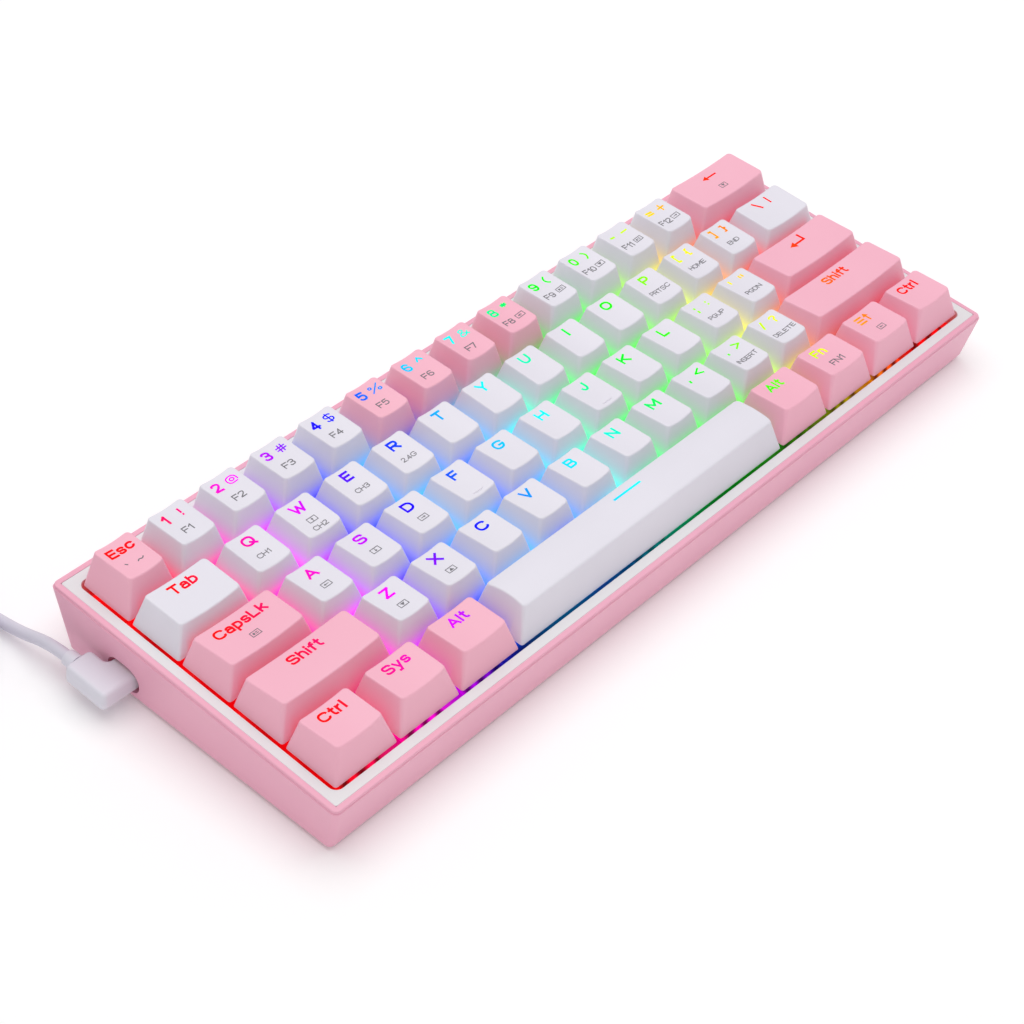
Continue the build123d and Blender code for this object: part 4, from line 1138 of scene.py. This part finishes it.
# Each letter as its width over the height of a capital, then its strokes.  A stroke is x y pairs along its
# middle line, from 0 to 1 over the letter's own box; it may start with a corner rounding and, if it closes
# on itself, an o.
LETTERS: dict[str, tuple[float, str]] = {
    "A": (0.95, "0 0 .5 1 1 0 | .2 .3 .8 .3"),
    "B": (0.85, "0 0 0 1 | .25 0 1 .95 1 .95 .53 0 .53 | .27 0 .53 1 .53 1 0 0 0"),
    "C": (0.95, ".5 1 .84 1 1 0 1 0 0 1 0 1 .16"), "D": (0.92, "0 0 0 1 | .5 0 1 1 1 1 0 0 0"),
    "E": (0.78, "1 1 0 1 0 0 1 0 | 0 .52 .88 .52"), "F": (0.76, "1 1 0 1 0 0 | 0 .5 .85 .5"),
    "G": (0.98, ".5 1 .86 1 1 0 1 0 0 1 0 1 .45 | 1 .45 .6 .45"),
    "H": (0.88, "0 0 0 1 | 1 0 1 1 | 0 .52 1 .52"), "I": (0.2, ".5 0 .5 1"),
    "J": (0.66, ".45 1 1 1 0 0 0 0 .3"), "K": (0.9, "0 0 0 1 | 1 1 0 .38 | .35 .6 1 0"),
    "L": (0.74, "0 1 0 0 1 0"), "M": (1.05, "0 0 0 1 .5 .25 1 1 1 0"), "N": (0.9, "0 0 0 1 1 0 1 1"),
    "O": (1.0, "o .5 0 0 0 1 1 1 1 0"), "P": (0.84, "0 0 0 1 | .28 0 1 1 1 1 .42 0 .42"),
    "Q": (1.0, "o .5 0 0 0 1 1 1 1 0 | .62 .32 1.05 -.08"),
    "R": (0.88, "0 0 0 1 | .27 0 1 1 1 1 .46 0 .46 | .5 .46 1 0"),
    "S": (0.86, ".27 1 .86 1 1 0 1 0 .54 1 .48 1 0 0 0 0 .14"), "T": (0.9, "0 1 1 1 | .5 .9 .5 0"),
    "U": (0.88, ".48 0 1 0 0 1 0 1 1"), "V": (0.94, "0 1 .5 0 1 1"),
    "W": (1.25, "0 1 .27 0 .5 .8 .73 0 1 1"), "X": (0.92, "0 0 1 1 | 0 1 1 0"),
    "Y": (0.92, "0 1 .5 .45 1 1 | .5 .45 .5 0"), "Z": (0.84, "0 1 1 1 0 0 1 0"),
    "0": (0.72, "o .5 0 0 0 1 1 1 1 0"), "1": (0.42, "0 .72 1 1 1 0"),
    "2": (0.74, ".4 0 .84 0 1 1 1 1 .58 0 .06 | 0 0 1 0"),
    "3": (0.74, ".26 0 .88 0 1 1 1 1 .53 .4 .53 | .27 .4 .53 1 .53 1 0 0 0 0 .12"),
    "4": (0.78, ".72 0 .72 1 0 .26 1 .26"),
    "5": (0.74, ".95 1 .1 1 .04 .56 | .3 .04 .6 1 .66 1 0 0 0 0 .12"),
    "6": (0.76, ".45 .95 .88 .95 1 0 1 0 0 1 0 1 .57 0 .57"), "7": (0.72, "0 1 1 1 .35 0"),
    "8": (0.76, "o .26 .06 .54 .06 1 .94 1 .94 .54 | o .27 0 0 0 .54 1 .54 1 0"),
    "9": (0.76, ".45 .05 .12 .05 0 1 0 1 1 0 1 0 .43 1 .43"),
    "a": (0.68, ".3 .06 .64 .06 .74 1 .74 1 0 | .2 1 .43 0 .43 0 0 1 0"),
    "b": (0.7, "0 1 0 0 | .36 0 .74 1 .74 1 0 0 0"), "c": (0.68, ".36 1 .62 1 .74 0 .74 0 0 1 0 1 .12"),
    "f": (0.5, ".25 1 1 .42 1 .42 0 | 0 .7 1 .7"), "h": (0.68, "0 1 0 0 | .36 0 .5 0 .74 1 .74 1 0"),
    "i": (0.2, ".5 .68 .5 0 | .5 1.03 .5 1"), "k": (0.68, "0 1 0 0 | .9 .74 0 .26 | .35 .46 1 0"),
    "l": (0.2, ".5 1 .5 0"), "n": (0.68, "0 .74 0 0 | .36 0 .5 0 .74 1 .74 1 0"),
    "p": (0.7, "0 .74 0 -.34 | .36 0 .74 1 .74 1 0 0 0"),
    "r": (0.46, "0 .74 0 0 | .36 0 .4 0 .74 .9 .74"),
    "s": (0.64, ".2 1 .64 1 .74 0 .74 0 .39 1 .35 1 0 0 0 0 .1"),
    "t": (0.5, ".25 .4 1 .4 0 1 0 | 0 .74 .95 .74"), "y": (0.7, "0 .74 .52 .05 | 1 .74 .4 -.34 .08 -.34"),
    "!": (0.2, ".5 1 .5 .42 | .5 .03 .5 0"),
    "@": (1.05, ".5 .98 .2 1 1 0 1 0 0 .8 0 | o .2 .32 .3 .32 .7 .72 .7 .72 .3"),
    "#": (0.95, ".28 0 .4 1 | .62 0 .74 1 | 0 .33 1 .33 | 0 .67 1 .67"),
    "$": (0.78, ".27 1 .86 1 1 0 1 0 .54 1 .48 1 0 0 0 0 .14 | .5 1.15 .5 -.15"),
    "%": (1.1, "0 0 1 1 | o .14 0 .68 0 1 .28 1 .28 .68 | o .14 .72 0 .72 .32 1 .32 1 0"),
    "^": (0.7, "0 .5 .5 1 1 .5"), "&": (0.95, ".2 1 0 .18 .72 .18 1 .66 1 .66 .72 0 .34 0 0 .62 0 1 .42"),
    "*": (0.7, ".5 .55 .5 1 | .1 .66 .9 .9 | .1 .9 .9 .66"), "(": (0.4, ".4 1 1.1 0 .85 0 .15 1 -.1"),
    ")": (0.4, ".4 0 1.1 1 .85 1 .15 0 -.1"), "-": (0.5, "0 .45 1 .45"), "_": (0.8, "0 .45 1 .45"),
    "=": (0.8, "0 .68 1 .68 | 0 .32 1 .32"), "+": (0.85, "0 .5 1 .5 | .5 0 .5 1"),
    "[": (0.42, "1 1.05 0 1.05 0 -.05 1 -.05"), "]": (0.42, "0 1.05 1 1.05 1 -.05 0 -.05"),
    "{": (0.5, "1 1.05 .5 1.05 .5 .62 0 .5 .5 .38 .5 -.05 1 -.05"),
    "}": (0.5, "0 1.05 .5 1.05 .5 .62 1 .5 .5 .38 .5 -.05 0 -.05"),
    ";": (0.25, ".7 .66 .7 .62 | .7 .06 .3 -.1"), ":": (0.2, ".5 .68 .5 .64 | .5 .14 .5 .1"),
    "'": (0.2, ".5 1 .5 .66"), '"': (0.5, "0 1 0 .66 | 1 1 1 .66"), ",": (0.25, ".7 .06 .3 -.1"),
    ".": (0.2, ".5 .04 .5 0"), "<": (0.8, "1 .95 0 .5 1 .05"), ">": (0.8, "0 .95 1 .5 0 .05"),
    "/": (0.6, "0 0 1 1"), "?": (0.7, ".32 0 .84 0 1 1 1 1 .55 .5 .5 .5 .3 | .5 .06 .5 -.04"),
    "\\": (0.6, "0 1 1 0"), "|": (0.2, ".5 1.05 .5 -.05"), "`": (0.3, "0 1 1 .78"),
    "~": (0.9, ".25 0 .4 .25 .66 .75 .34 1 .6"), " ": (0.4, ""),
}


@dataclass
class LegendCutter:
    """Cuts legends as thin closed plates that follow a cap's top."""

    lift: float = 0.05           # mm that a legend stands over the top
    depth: float = 0.25
    spacing: float = 0.1         # gap between letters over the height of a capital
    stretch: float = 1.1         # letters are this much wider than the table says
    steps: int = 5               # points in a rounded corner
    least_turn: float = 0.6      # cosine of half the sharpest turn that a bar's edges follow

    def round_off(self, points: np.ndarray, rounding: float, closed: bool) -> np.ndarray:
        """Round a line's corners, each with a Bezier arc from a point before it to a point after it.

        An arc is (1-t)^2 times its start, 2t(1-t) times the corner and t^2 times its end; it takes at most
        half of a side that another corner shares and all of an end side.

        Args:
            points: (n, 2) corners in mm.
            rounding: how far from the corner an arc may start, in mm.
            closed: whether the line closes on itself.

        Returns:
            The rounded line's points.
        """
        if rounding == 0:
            return points
        count = len(points)
        t = np.linspace(0, 1, self.steps + 1)[:, None]
        pieces = [] if closed else [points[:1]]
        for i in range(0 if closed else 1, count if closed else count - 1):
            before, corner, after = points[i - 1], points[i], points[(i + 1) % count]
            shares = [1.0 if not closed and edge in (0, count - 1) else 0.5 for edge in (i - 1, i + 1)]
            ends = []
            for other, share in zip((before, after), shares):
                side = np.linalg.norm(other - corner)
                ends.append(corner + (other - corner) * min(rounding, share * side) / side)
            pieces.append((1 - t) ** 2 * ends[0] + 2 * t * (1 - t) * corner + t ** 2 * ends[1])
        line = np.concatenate(pieces if closed else pieces + [points[-1:]])
        kept = np.linalg.norm(line - np.roll(line, 1, 0), axis=1) > 1e-4
        kept[0] = kept[0] or not closed
        return line[kept]

    def square_off(self, line: np.ndarray, reach: float) -> None:
        """Lengthen a line at both ends by reach, so that bars that meet at a corner fill it."""
        for end, inner in ((0, 1), (-1, -2)):
            out = line[end] - line[inner]
            line[end] += out / np.linalg.norm(out) * reach

    def ribbon(self, line: np.ndarray, width: float, closed: bool) -> tuple[np.ndarray, list]:
        """A flat closed bar of even width along a line.

        Each point's two edges stand half a width along its normal, over the cosine of half its turn.

        Args:
            line: (n, 2) points in mm.
            width: the bar's width in mm.
            closed: whether the line closes on itself.

        Returns:
            Points with z from 0 to 1 through the bar, and faces.
        """
        ahead = np.roll(line, -1, 0) - line
        ahead /= np.linalg.norm(ahead, axis=1, keepdims=True) + 1e-12
        behind = np.roll(ahead, 1, 0)
        if not closed:
            ahead[-1], behind[0] = behind[-1], ahead[0]
        mean = ahead + behind
        mean /= np.linalg.norm(mean, axis=1, keepdims=True) + 1e-12
        turn = np.clip(np.sum(mean * ahead, 1, keepdims=True), self.least_turn, 1)
        side = np.stack([-mean[:, 1], mean[:, 0]], 1) / turn * width / 2
        left, right = line + side, line - side
        tall, flat = np.ones(len(line)), np.zeros(len(line))
        rings = np.stack([np.column_stack([left, tall]), np.column_stack([right, tall]),
                          np.column_stack([right, flat]), np.column_stack([left, flat])], 1)
        here = np.arange(len(line) if closed else len(line) - 1)[:, None]
        there = (here + 1) % len(line)
        corner, after = np.arange(4), (np.arange(4) + 1) % 4
        faces = np.stack([here * 4 + corner, here * 4 + after, there * 4 + after, there * 4 + corner], -1)
        faces = faces.reshape(-1, 4).tolist()
        if not closed:
            last = 4 * (len(line) - 1)
            faces += [[3, 2, 1, 0], [last, last + 1, last + 2, last + 3]]
        return rings.reshape(-1, 3), faces

    def text(self, body: str, height: float, weight: float) -> tuple[np.ndarray, list]:
        """Cut a word, middle of its capitals at the origin.

        Args:
            body: the word.
            height: height of its capitals in mm.
            weight: width of its strokes over that height.

        Returns:
            Points in mm with z from 0 to 1 through the plate, and faces.
        """
        bars, at = [], 0.0
        for letter in body:
            width, strokes = LETTERS[letter]
            width *= self.stretch
            size = np.array([max(width - weight, 0), 1 - weight])
            for stroke in filter(None, strokes.split(" | ")):
                closed = stroke.startswith("o ")
                values = [float(v) for v in stroke.removeprefix("o ").split()]
                rounding = values.pop(0) if len(values) % 2 else 0.0
                corners = (np.array(values).reshape(-1, 2) * size + weight / 2 + np.array([at, 0])) * height
                lines = [corners] if rounding else [corners[i:i + 2].copy() for i in range(len(corners) - 1)]
                for line in lines:
                    if not closed:
                        self.square_off(line, weight * height / 2)
                    line = self.round_off(line, rounding * height, closed)
                    bars.append(self.ribbon(line, weight * height, closed))
            at += width + self.spacing
        points, faces = join(bars)
        return points - np.array([(at - self.spacing) * height / 2, height / 2, 0]), faces

    def plates(self, outlines: tuple) -> tuple[np.ndarray, list]:
        """Flat prisms over closed outlines.

        Args:
            outlines: lists of (x, y) in mm, counter-clockwise or clockwise.

        Returns:
            Points with z from 0 to 1 through the prisms, and faces.
        """
        prisms = []
        for outline in outlines:
            flat = np.array(outline, float)
            turn = np.roll(flat, -1, 0)
            if np.sum(flat[:, 0] * turn[:, 1] - turn[:, 0] * flat[:, 1]) < 0:
                flat = flat[::-1]
            count = len(flat)
            here = np.arange(count)
            after = (here + 1) % count
            sides = np.stack([here, here + count, after + count, after], 1)
            points = [np.column_stack([flat, np.ones(count)]), np.column_stack([flat, np.zeros(count)])]
            ends = [here.tolist(), (count + here[::-1]).tolist()]
            prisms.append((np.concatenate(points), ends + sides.tolist()))
        return join(prisms)

    def frame(self, width: float, height: float, line: float) -> tuple[np.ndarray, list]:
        """A thin rectangular frame with mitred corners."""
        x, y = (width - line) / 2, (height - line) / 2
        return self.ribbon(np.array([(-x, -y), (x, -y), (x, y), (-x, y)]), line, True)


@dataclass(frozen=True)
class LegendPlan:
    """Sizes of the legends and their places on a top, in mm from the key's middle."""

    letter: float = 3.7          # height of a lit letter or digit
    word: float = 3.4
    shifted: float = 0.85        # a shifted sign's height over the plain one's
    main_y: float = 4.6
    plain_x: float = -2.9
    shifted_x: float = 2.6
    bold: float = 0.2            # width of a stroke over the letter's height
    sign: float = 0.18
    crowded: str = "@#$%&"       # signs with many strokes, which are thinner
    crowded_sign: float = 0.13
    fine: float = 0.14
    function: float = 2.35       # height of a small printed F1 or of the ` and ~
    note: float = 1.7            # height of a small printed word
    small_y: float = -1.5
    note_drop: float = 2.6       # how far a word stands in front of a boxed sign
    function_x: float = -0.4
    function_beside_box_x: float = -2.3
    box: tuple = (3.2, 1.9, 0.2)     # width, depth and line of the frame round a small sign
    box_beside_x: float = 2.9
    box_rise: float = 0.2            # behind small_y
    box_over_note_rise: float = 0.6


class Face(IntEnum):
    """Material numbers on a key."""

    CAP = 0
    LIT = 1
    PRINTED = 2
    STEM = 3


@dataclass
class KeyField:
    """The 61 keys: caps with their legends, and the stems and springs under them."""

    deck: Deck
    plastics: dict
    lit: bpy.types.Material
    printed: bpy.types.Material
    stem: bpy.types.Material
    spring: bpy.types.Material
    plan: LegendPlan = LegendPlan()
    bar_half: float = 2.0        # half the finger bar's length up to its last whole section, in mm
    bar_end: float = 2.05        # and up to its tip
    bar_inset: float = 1.35      # from the top's front edge to the bar's middle
    bar_width: float = 0.28      # half the bar's width
    bar_rise: float = 0.32
    spring_turns: int = 12
    spring_steps: int = 16       # sections in each turn
    wire: float = 0.2            # radius of the spring's wire
    wire_sides: int = 6
    stem_reach: float = 5.0      # mm over the caps' feet, and before or behind the key, that a stem reaches
    cutter: LegendCutter = field(default_factory=LegendCutter)
    solids: dict = field(default_factory=dict)

    def build(self) -> None:
        """Make every key, row by row from the back."""
        for index, (row, keys) in enumerate(LAYOUT.items()):
            left = -self.deck.half_x
            y = self.deck.half_y - (index + 0.5) * self.deck.pitch
            for place, key in enumerate(keys):
                self.key(key, row, left + key.units * self.deck.pitch / 2, y, place)
                left += key.units * self.deck.pitch
            LOG.info("keys: %s row, %d keys", row.name.lower(), len(keys))

    def key(self, key: Key, row: Row, x: float, y: float, place: int) -> None:
        """Join one key's skin, sockets, legends and stems into a piece that rides on the key's body.

        Args:
            key: what the key says and how wide it is.
            row: its row, which gives its side view.
            x: the key's middle, in deck mm.
            y: the key's middle, in deck mm.
            place: its number in the row, from the left.
        """
        form = CapForm(row.value, key.units, self.deck.pitch)
        middle = np.array([x, y, self.deck.cap_lift])
        parts = [(*form.shell(), Face.CAP)] + [(*form.post(side), Face.CAP) for side in form.posts()]
        if key.bar:
            parts.append((*self.finger_bar(form), Face.CAP))
        parts += self.legends(key, form)
        parts = [(points + middle, faces, slot) for points, faces, slot in parts]
        parts += [(*solid, Face.STEM) for solid in self.under_cap(key.name, x, y, form.half)]
        points, faces = join([part[:2] for part in parts])
        slots = [slot for _, own, slot in parts for _ in own]
        number = row.name.lower() + "_" + str(place)
        materials = [self.plastics[key.shade], self.lit, self.printed, self.stem]
        piece = add_piece("cap_" + number + "_" + key.name.removeprefix("key_"), self.deck.place(points),
                          faces, materials, key.name, slots)
        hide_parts(key.name)
        self.coil_spring("spring_" + number, x, y, form.half)

    def coil_spring(self, name: str, x: float, y: float, half: float) -> None:
        """Wind the spring under one key, inside its CAD sleeve.

        The wire's middle is a helix: radius r, and a height that rises evenly with the angle.  Round it, a
        point is out by wire * cos(b) along the radius and by wire * sin(b) along z.

        Args:
            name: the piece's name.
            x: the key's middle, in deck mm.
            y: the key's middle, in deck mm.
            half: half the cap's width.
        """
        sleeve = self.under_cap("switch_springs", x, y, half)[0][0]
        low, high = sleeve.min(0), sleeve.max(0)
        along = np.linspace(0, 1, self.spring_turns * self.spring_steps + 1)[:, None]
        angle = 2 * pi * self.spring_turns * along
        around = np.linspace(0, 2 * pi, self.wire_sides, endpoint=False)
        reach = (high[0] - low[0]) / 2 - self.wire + self.wire * np.cos(around)
        climb = high[2] - low[2] - 2 * self.wire
        height = low[2] + self.wire + along * climb + self.wire * np.sin(around)
        rings = np.stack([x + reach * np.cos(angle), y + reach * np.sin(angle), height], -1)
        points = np.concatenate([rings.reshape(-1, 3), [rings[0].mean(0), rings[-1].mean(0)]])
        faces = skin(len(rings), self.wire_sides)
        piece = add_piece(name, self.deck.place(points), faces, [self.spring], "root")
        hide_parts("switch_springs")
        foot, above = self.deck.place(np.array([(x, y, low[2]), (x, y, low[2] + 1)]))
        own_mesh(piece)

    def finger_bar(self, form: CapForm) -> tuple[np.ndarray, list]:
        """The raised bar near the front edge: a low rounded ridge that follows the dish.

        Its section is an ellipse about the top, and shrinks to the ends by the square root of
        1 - (x / end)^6.

        Args:
            form: the cap that carries it.

        Returns:
            Points in mm about the cap's foot, and faces.
        """
        along = np.linspace(-self.bar_half, self.bar_half, 9)
        y = form.ends()[0] + self.bar_inset
        turn = np.linspace(0, 2 * pi, 10, endpoint=False)
        size = np.sqrt(np.clip(1 - (along / self.bar_end) ** 6, 0, 1))
        rows = y + self.bar_width * np.outer(size, np.cos(turn))
        columns = np.repeat(along[:, None], len(turn), 1)
        heights = form.top(columns, rows) + self.bar_rise * np.outer(size, np.sin(turn))
        rings = np.stack([columns, rows, heights], -1).reshape(-1, 3)
        tips = np.array([-self.bar_end, self.bar_end])
        ends = np.column_stack([tips, np.full(2, y), form.top(tips, np.full(2, y))])
        return np.concatenate([rings, ends]), [face[::-1] for face in skin(len(along), len(turn))]

    def lit_legends(self, key: Key) -> list[tuple]:
        """Cut the legends that the lamp shines through.

        Args:
            key: what the key says.

        Returns:
            (plate, x, y, material number) of each.
        """
        plan, cut = self.plan, []
        if key.main and key.second:
            weight = plan.crowded_sign if key.second in plan.crowded else plan.sign
            plain = self.cutter.text(key.main, plan.letter, plan.bold)
            shifted = self.cutter.text(key.second, plan.shifted * plan.letter, weight)
            cut.append((plain, plan.plain_x, plan.main_y, Face.LIT))
            cut.append((shifted, plan.shifted_x, plan.main_y, Face.LIT))
        elif key.main:
            height = plan.letter if len(key.main) == 1 else plan.word
            cut.append((self.cutter.text(key.main, height, plan.bold), key.shift, plan.main_y, Face.LIT))
        if key.sign is not Sign.NONE:
            cut.append((self.cutter.plates(key.sign.value), key.shift, plan.main_y, Face.LIT))
        return cut

    def printed_legends(self, key: Key) -> list[tuple]:
        """Cut the small grey legends that stand in front of the lit ones.

        Args:
            key: what the key says.

        Returns:
            (plate, x, y, material number) of each.
        """
        plan, cut = self.plan, []
        boxed = key.boxed is not Sign.NONE
        function = key.small.startswith("F")
        if key.small:
            height = plan.function if function or key.small.startswith("`") else plan.note
            beside = plan.function_beside_box_x if boxed else plan.function_x
            drop = plan.note_drop if boxed and not function else 0.0
            cut.append((self.cutter.text(key.small, height, plan.fine), beside if function else 0.0,
                        plan.small_y - drop, Face.PRINTED))
        if boxed:
            x = plan.box_beside_x if key.second else 0.0
            noted = bool(key.small) and not function
            y = plan.small_y + (plan.box_over_note_rise if noted else plan.box_rise)
            cut.append((self.cutter.frame(*plan.box), x, y, Face.PRINTED))
            cut.append((self.cutter.plates(key.boxed.value), x, y, Face.PRINTED))
        return cut

    def legends(self, key: Key, form: CapForm) -> list[tuple]:
        """Cut a key's legends and lay each on the cap's top.

        Args:
            key: what the key says.
            form: the cap that carries them.

        Returns:
            (points in mm about the cap's foot, faces, material number) of each.
        """
        laid = []
        for (points, faces), x, y, slot in self.lit_legends(key) + self.printed_legends(key):
            flat = points[:, :2] + np.array([x, y])
            through = self.cutter.lift - self.cutter.depth * (1 - points[:, 2])
            laid.append((np.column_stack([flat, form.top(flat[:, 0], flat[:, 1]) + through]), faces, slot))
        return laid

    def split(self, node: str) -> tuple[np.ndarray, np.ndarray, np.ndarray]:
        """Weld a copy of a CAD node's mesh and number its separate solids.

        Every point starts with its own number and takes the lowest number among the faces that it shares,
        until nothing changes.

        Args:
            node: the CAD node.

        Returns:
            Points in deck mm, faces, and each point's solid.
        """
        work = bmesh.new()
        work.from_mesh(frame["nodes"][node].data)
        bmesh.ops.remove_doubles(work, verts=work.verts, dist=1e-6)
        points = self.deck.back(np.array([v.co for v in work.verts]))
        faces = np.array([[v.index for v in f.verts] for f in work.faces])
        work.free()
        label, before = np.arange(len(points)), None
        while not np.array_equal(label, before):
            before = label.copy()
            np.minimum.at(label, faces.ravel(), np.repeat(before[faces].min(1), 3))
            label = label[label]
        return points, faces, label

    def under_cap(self, node: str, x: float, y: float, half: float) -> list[tuple]:
        """Copy the solids of a CAD node that stand under one cap.

        Args:
            node: the key's node, for its stems, or the springs' node.
            x: the key's middle, in deck mm.
            y: the key's middle, in deck mm.
            half: half the cap's width.

        Returns:
            Points in deck mm and faces of each.
        """
        if node not in self.solids:
            self.solids[node] = self.split(node)
        points, faces, label = self.solids[node]
        found = []
        for solid in np.unique(label):
            own = label == solid
            low, high = points[own].min(0), points[own].max(0)
            away = np.abs((low + high) / 2 - np.array([x, y, 0]))
            below = high[2] <= self.deck.cap_lift + self.stem_reach
            if below and away[0] <= half and away[1] <= self.stem_reach:
                number = np.cumsum(own) - 1
                found.append((points[own], number[faces[own[faces[:, 0]]]].tolist()))
        return found


# ---- what stays as drawn ---------------------------------------------------------------------------
@dataclass
class CadFinishes:
    """Gives each CAD node that stays its finish."""

    by_node: dict

    def build(self) -> None:
        """Put each material in its node's slots."""
        for node, material in self.by_node.items():
            piece = frame["nodes"][node]
            if not piece.material_slots:
                piece.data.materials.append(material)
            for slot in piece.material_slots:
                slot.material = material
            LOG.info("finish: %s is %s", node, material.name)


def main() -> None:
    """Build the studio, the lead, the keys and the finishes in order."""
    logging.basicConfig(level=logging.INFO, format="%(name)s: %(message)s")
    deck = Deck.from_frame()
    Studio(deck).build()
    lamps = Lamps(deck)
    white = MouldedPlastic("moulded ABS ring, cool white", "#E8E6E9", "#E4E2E6", 0.38)
    pink = MouldedPlastic("moulded ABS case, pink", "#F2AFC6", "#EFABC3", 0.36)
    overmould = SoftJacket("overmoulded PVC plug", "#E3E1EC", "#DCDAE6", 0.46).build()
    nickel = PlatedMetal("nickel-plated steel", "#C9C7C4").build()
    nylon = MouldedPlastic("moulded nylon guides", "#E9E7E2", "#E1DED8", 0.5).build()
    Lead(SoftJacket("extruded PVC jacket", "#DEDBE8", "#D5D2E0", 0.48).build(), overmould,
         SoftJacket("woven hook-and-loop strap", "#D9D4E2", "#C9C4D4", 0.85, 0.9, 0.12).build(), nickel,
         nylon).build()
    caps = {
        Shade.PINK: CapPlastic("double-shot ABS cap, pink", "#FBBACE", "#F9B6CB", lamps=lamps, strength=0.1,
                               soak=0.4).build(),
        Shade.WHITE: CapPlastic("double-shot ABS cap, cool white", "#EAE7F2", "#E7E4EF", lamps=lamps).build(),
    }
    KeyField(deck, caps, LitLegend("clear resin legend, lit", lamps).build(),
             MouldedPlastic("pad-printed grey ink", "#77757C", "#6E6C74", 0.5).build(),
             ClearGlow("clear polycarbonate stem", lamps, 0.6).build(),
             PlatedMetal("drawn spring steel", "#B5B3AE").build()).build()
    housing = ClearGlow("clear polycarbonate housing", lamps).build()
    CadFinishes({
        "case_tray": pink.build(),
        "top_frame": white.build(),
        "switch_plate": GlowingSheet("powder-coated steel plate", lamps).build(),
        "circuit_board": MouldedPlastic("white solder mask on glass epoxy", "#E4E6E2", "#D9DCD8",
                                        0.3).build(),
        "battery": SoftJacket("foil pouch of the cell", "#A9ACB2", "#9B9EA6", 0.35).build(),
        "usb_socket": nickel,
        "usb_c_plug": overmould,
        "rubber_feet": SoftJacket("moulded silicone pads", "#D8D4DC", "#CDC9D2", 0.7).build(),
        "case_screws": PlatedMetal("nickel-plated screw steel", "#BFC0C2").build(),
        "switch_housings": housing,
        "led_lamps": LitLegend("lamp lens, lit", lamps, 6.0).build(),
        "stabiliser_housings": nylon,
        "stabiliser_wires": PlatedMetal("plated wire", "#BDBBB6").build(),
    }).build()
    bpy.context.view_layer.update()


if __name__ == "__main__":
    main()
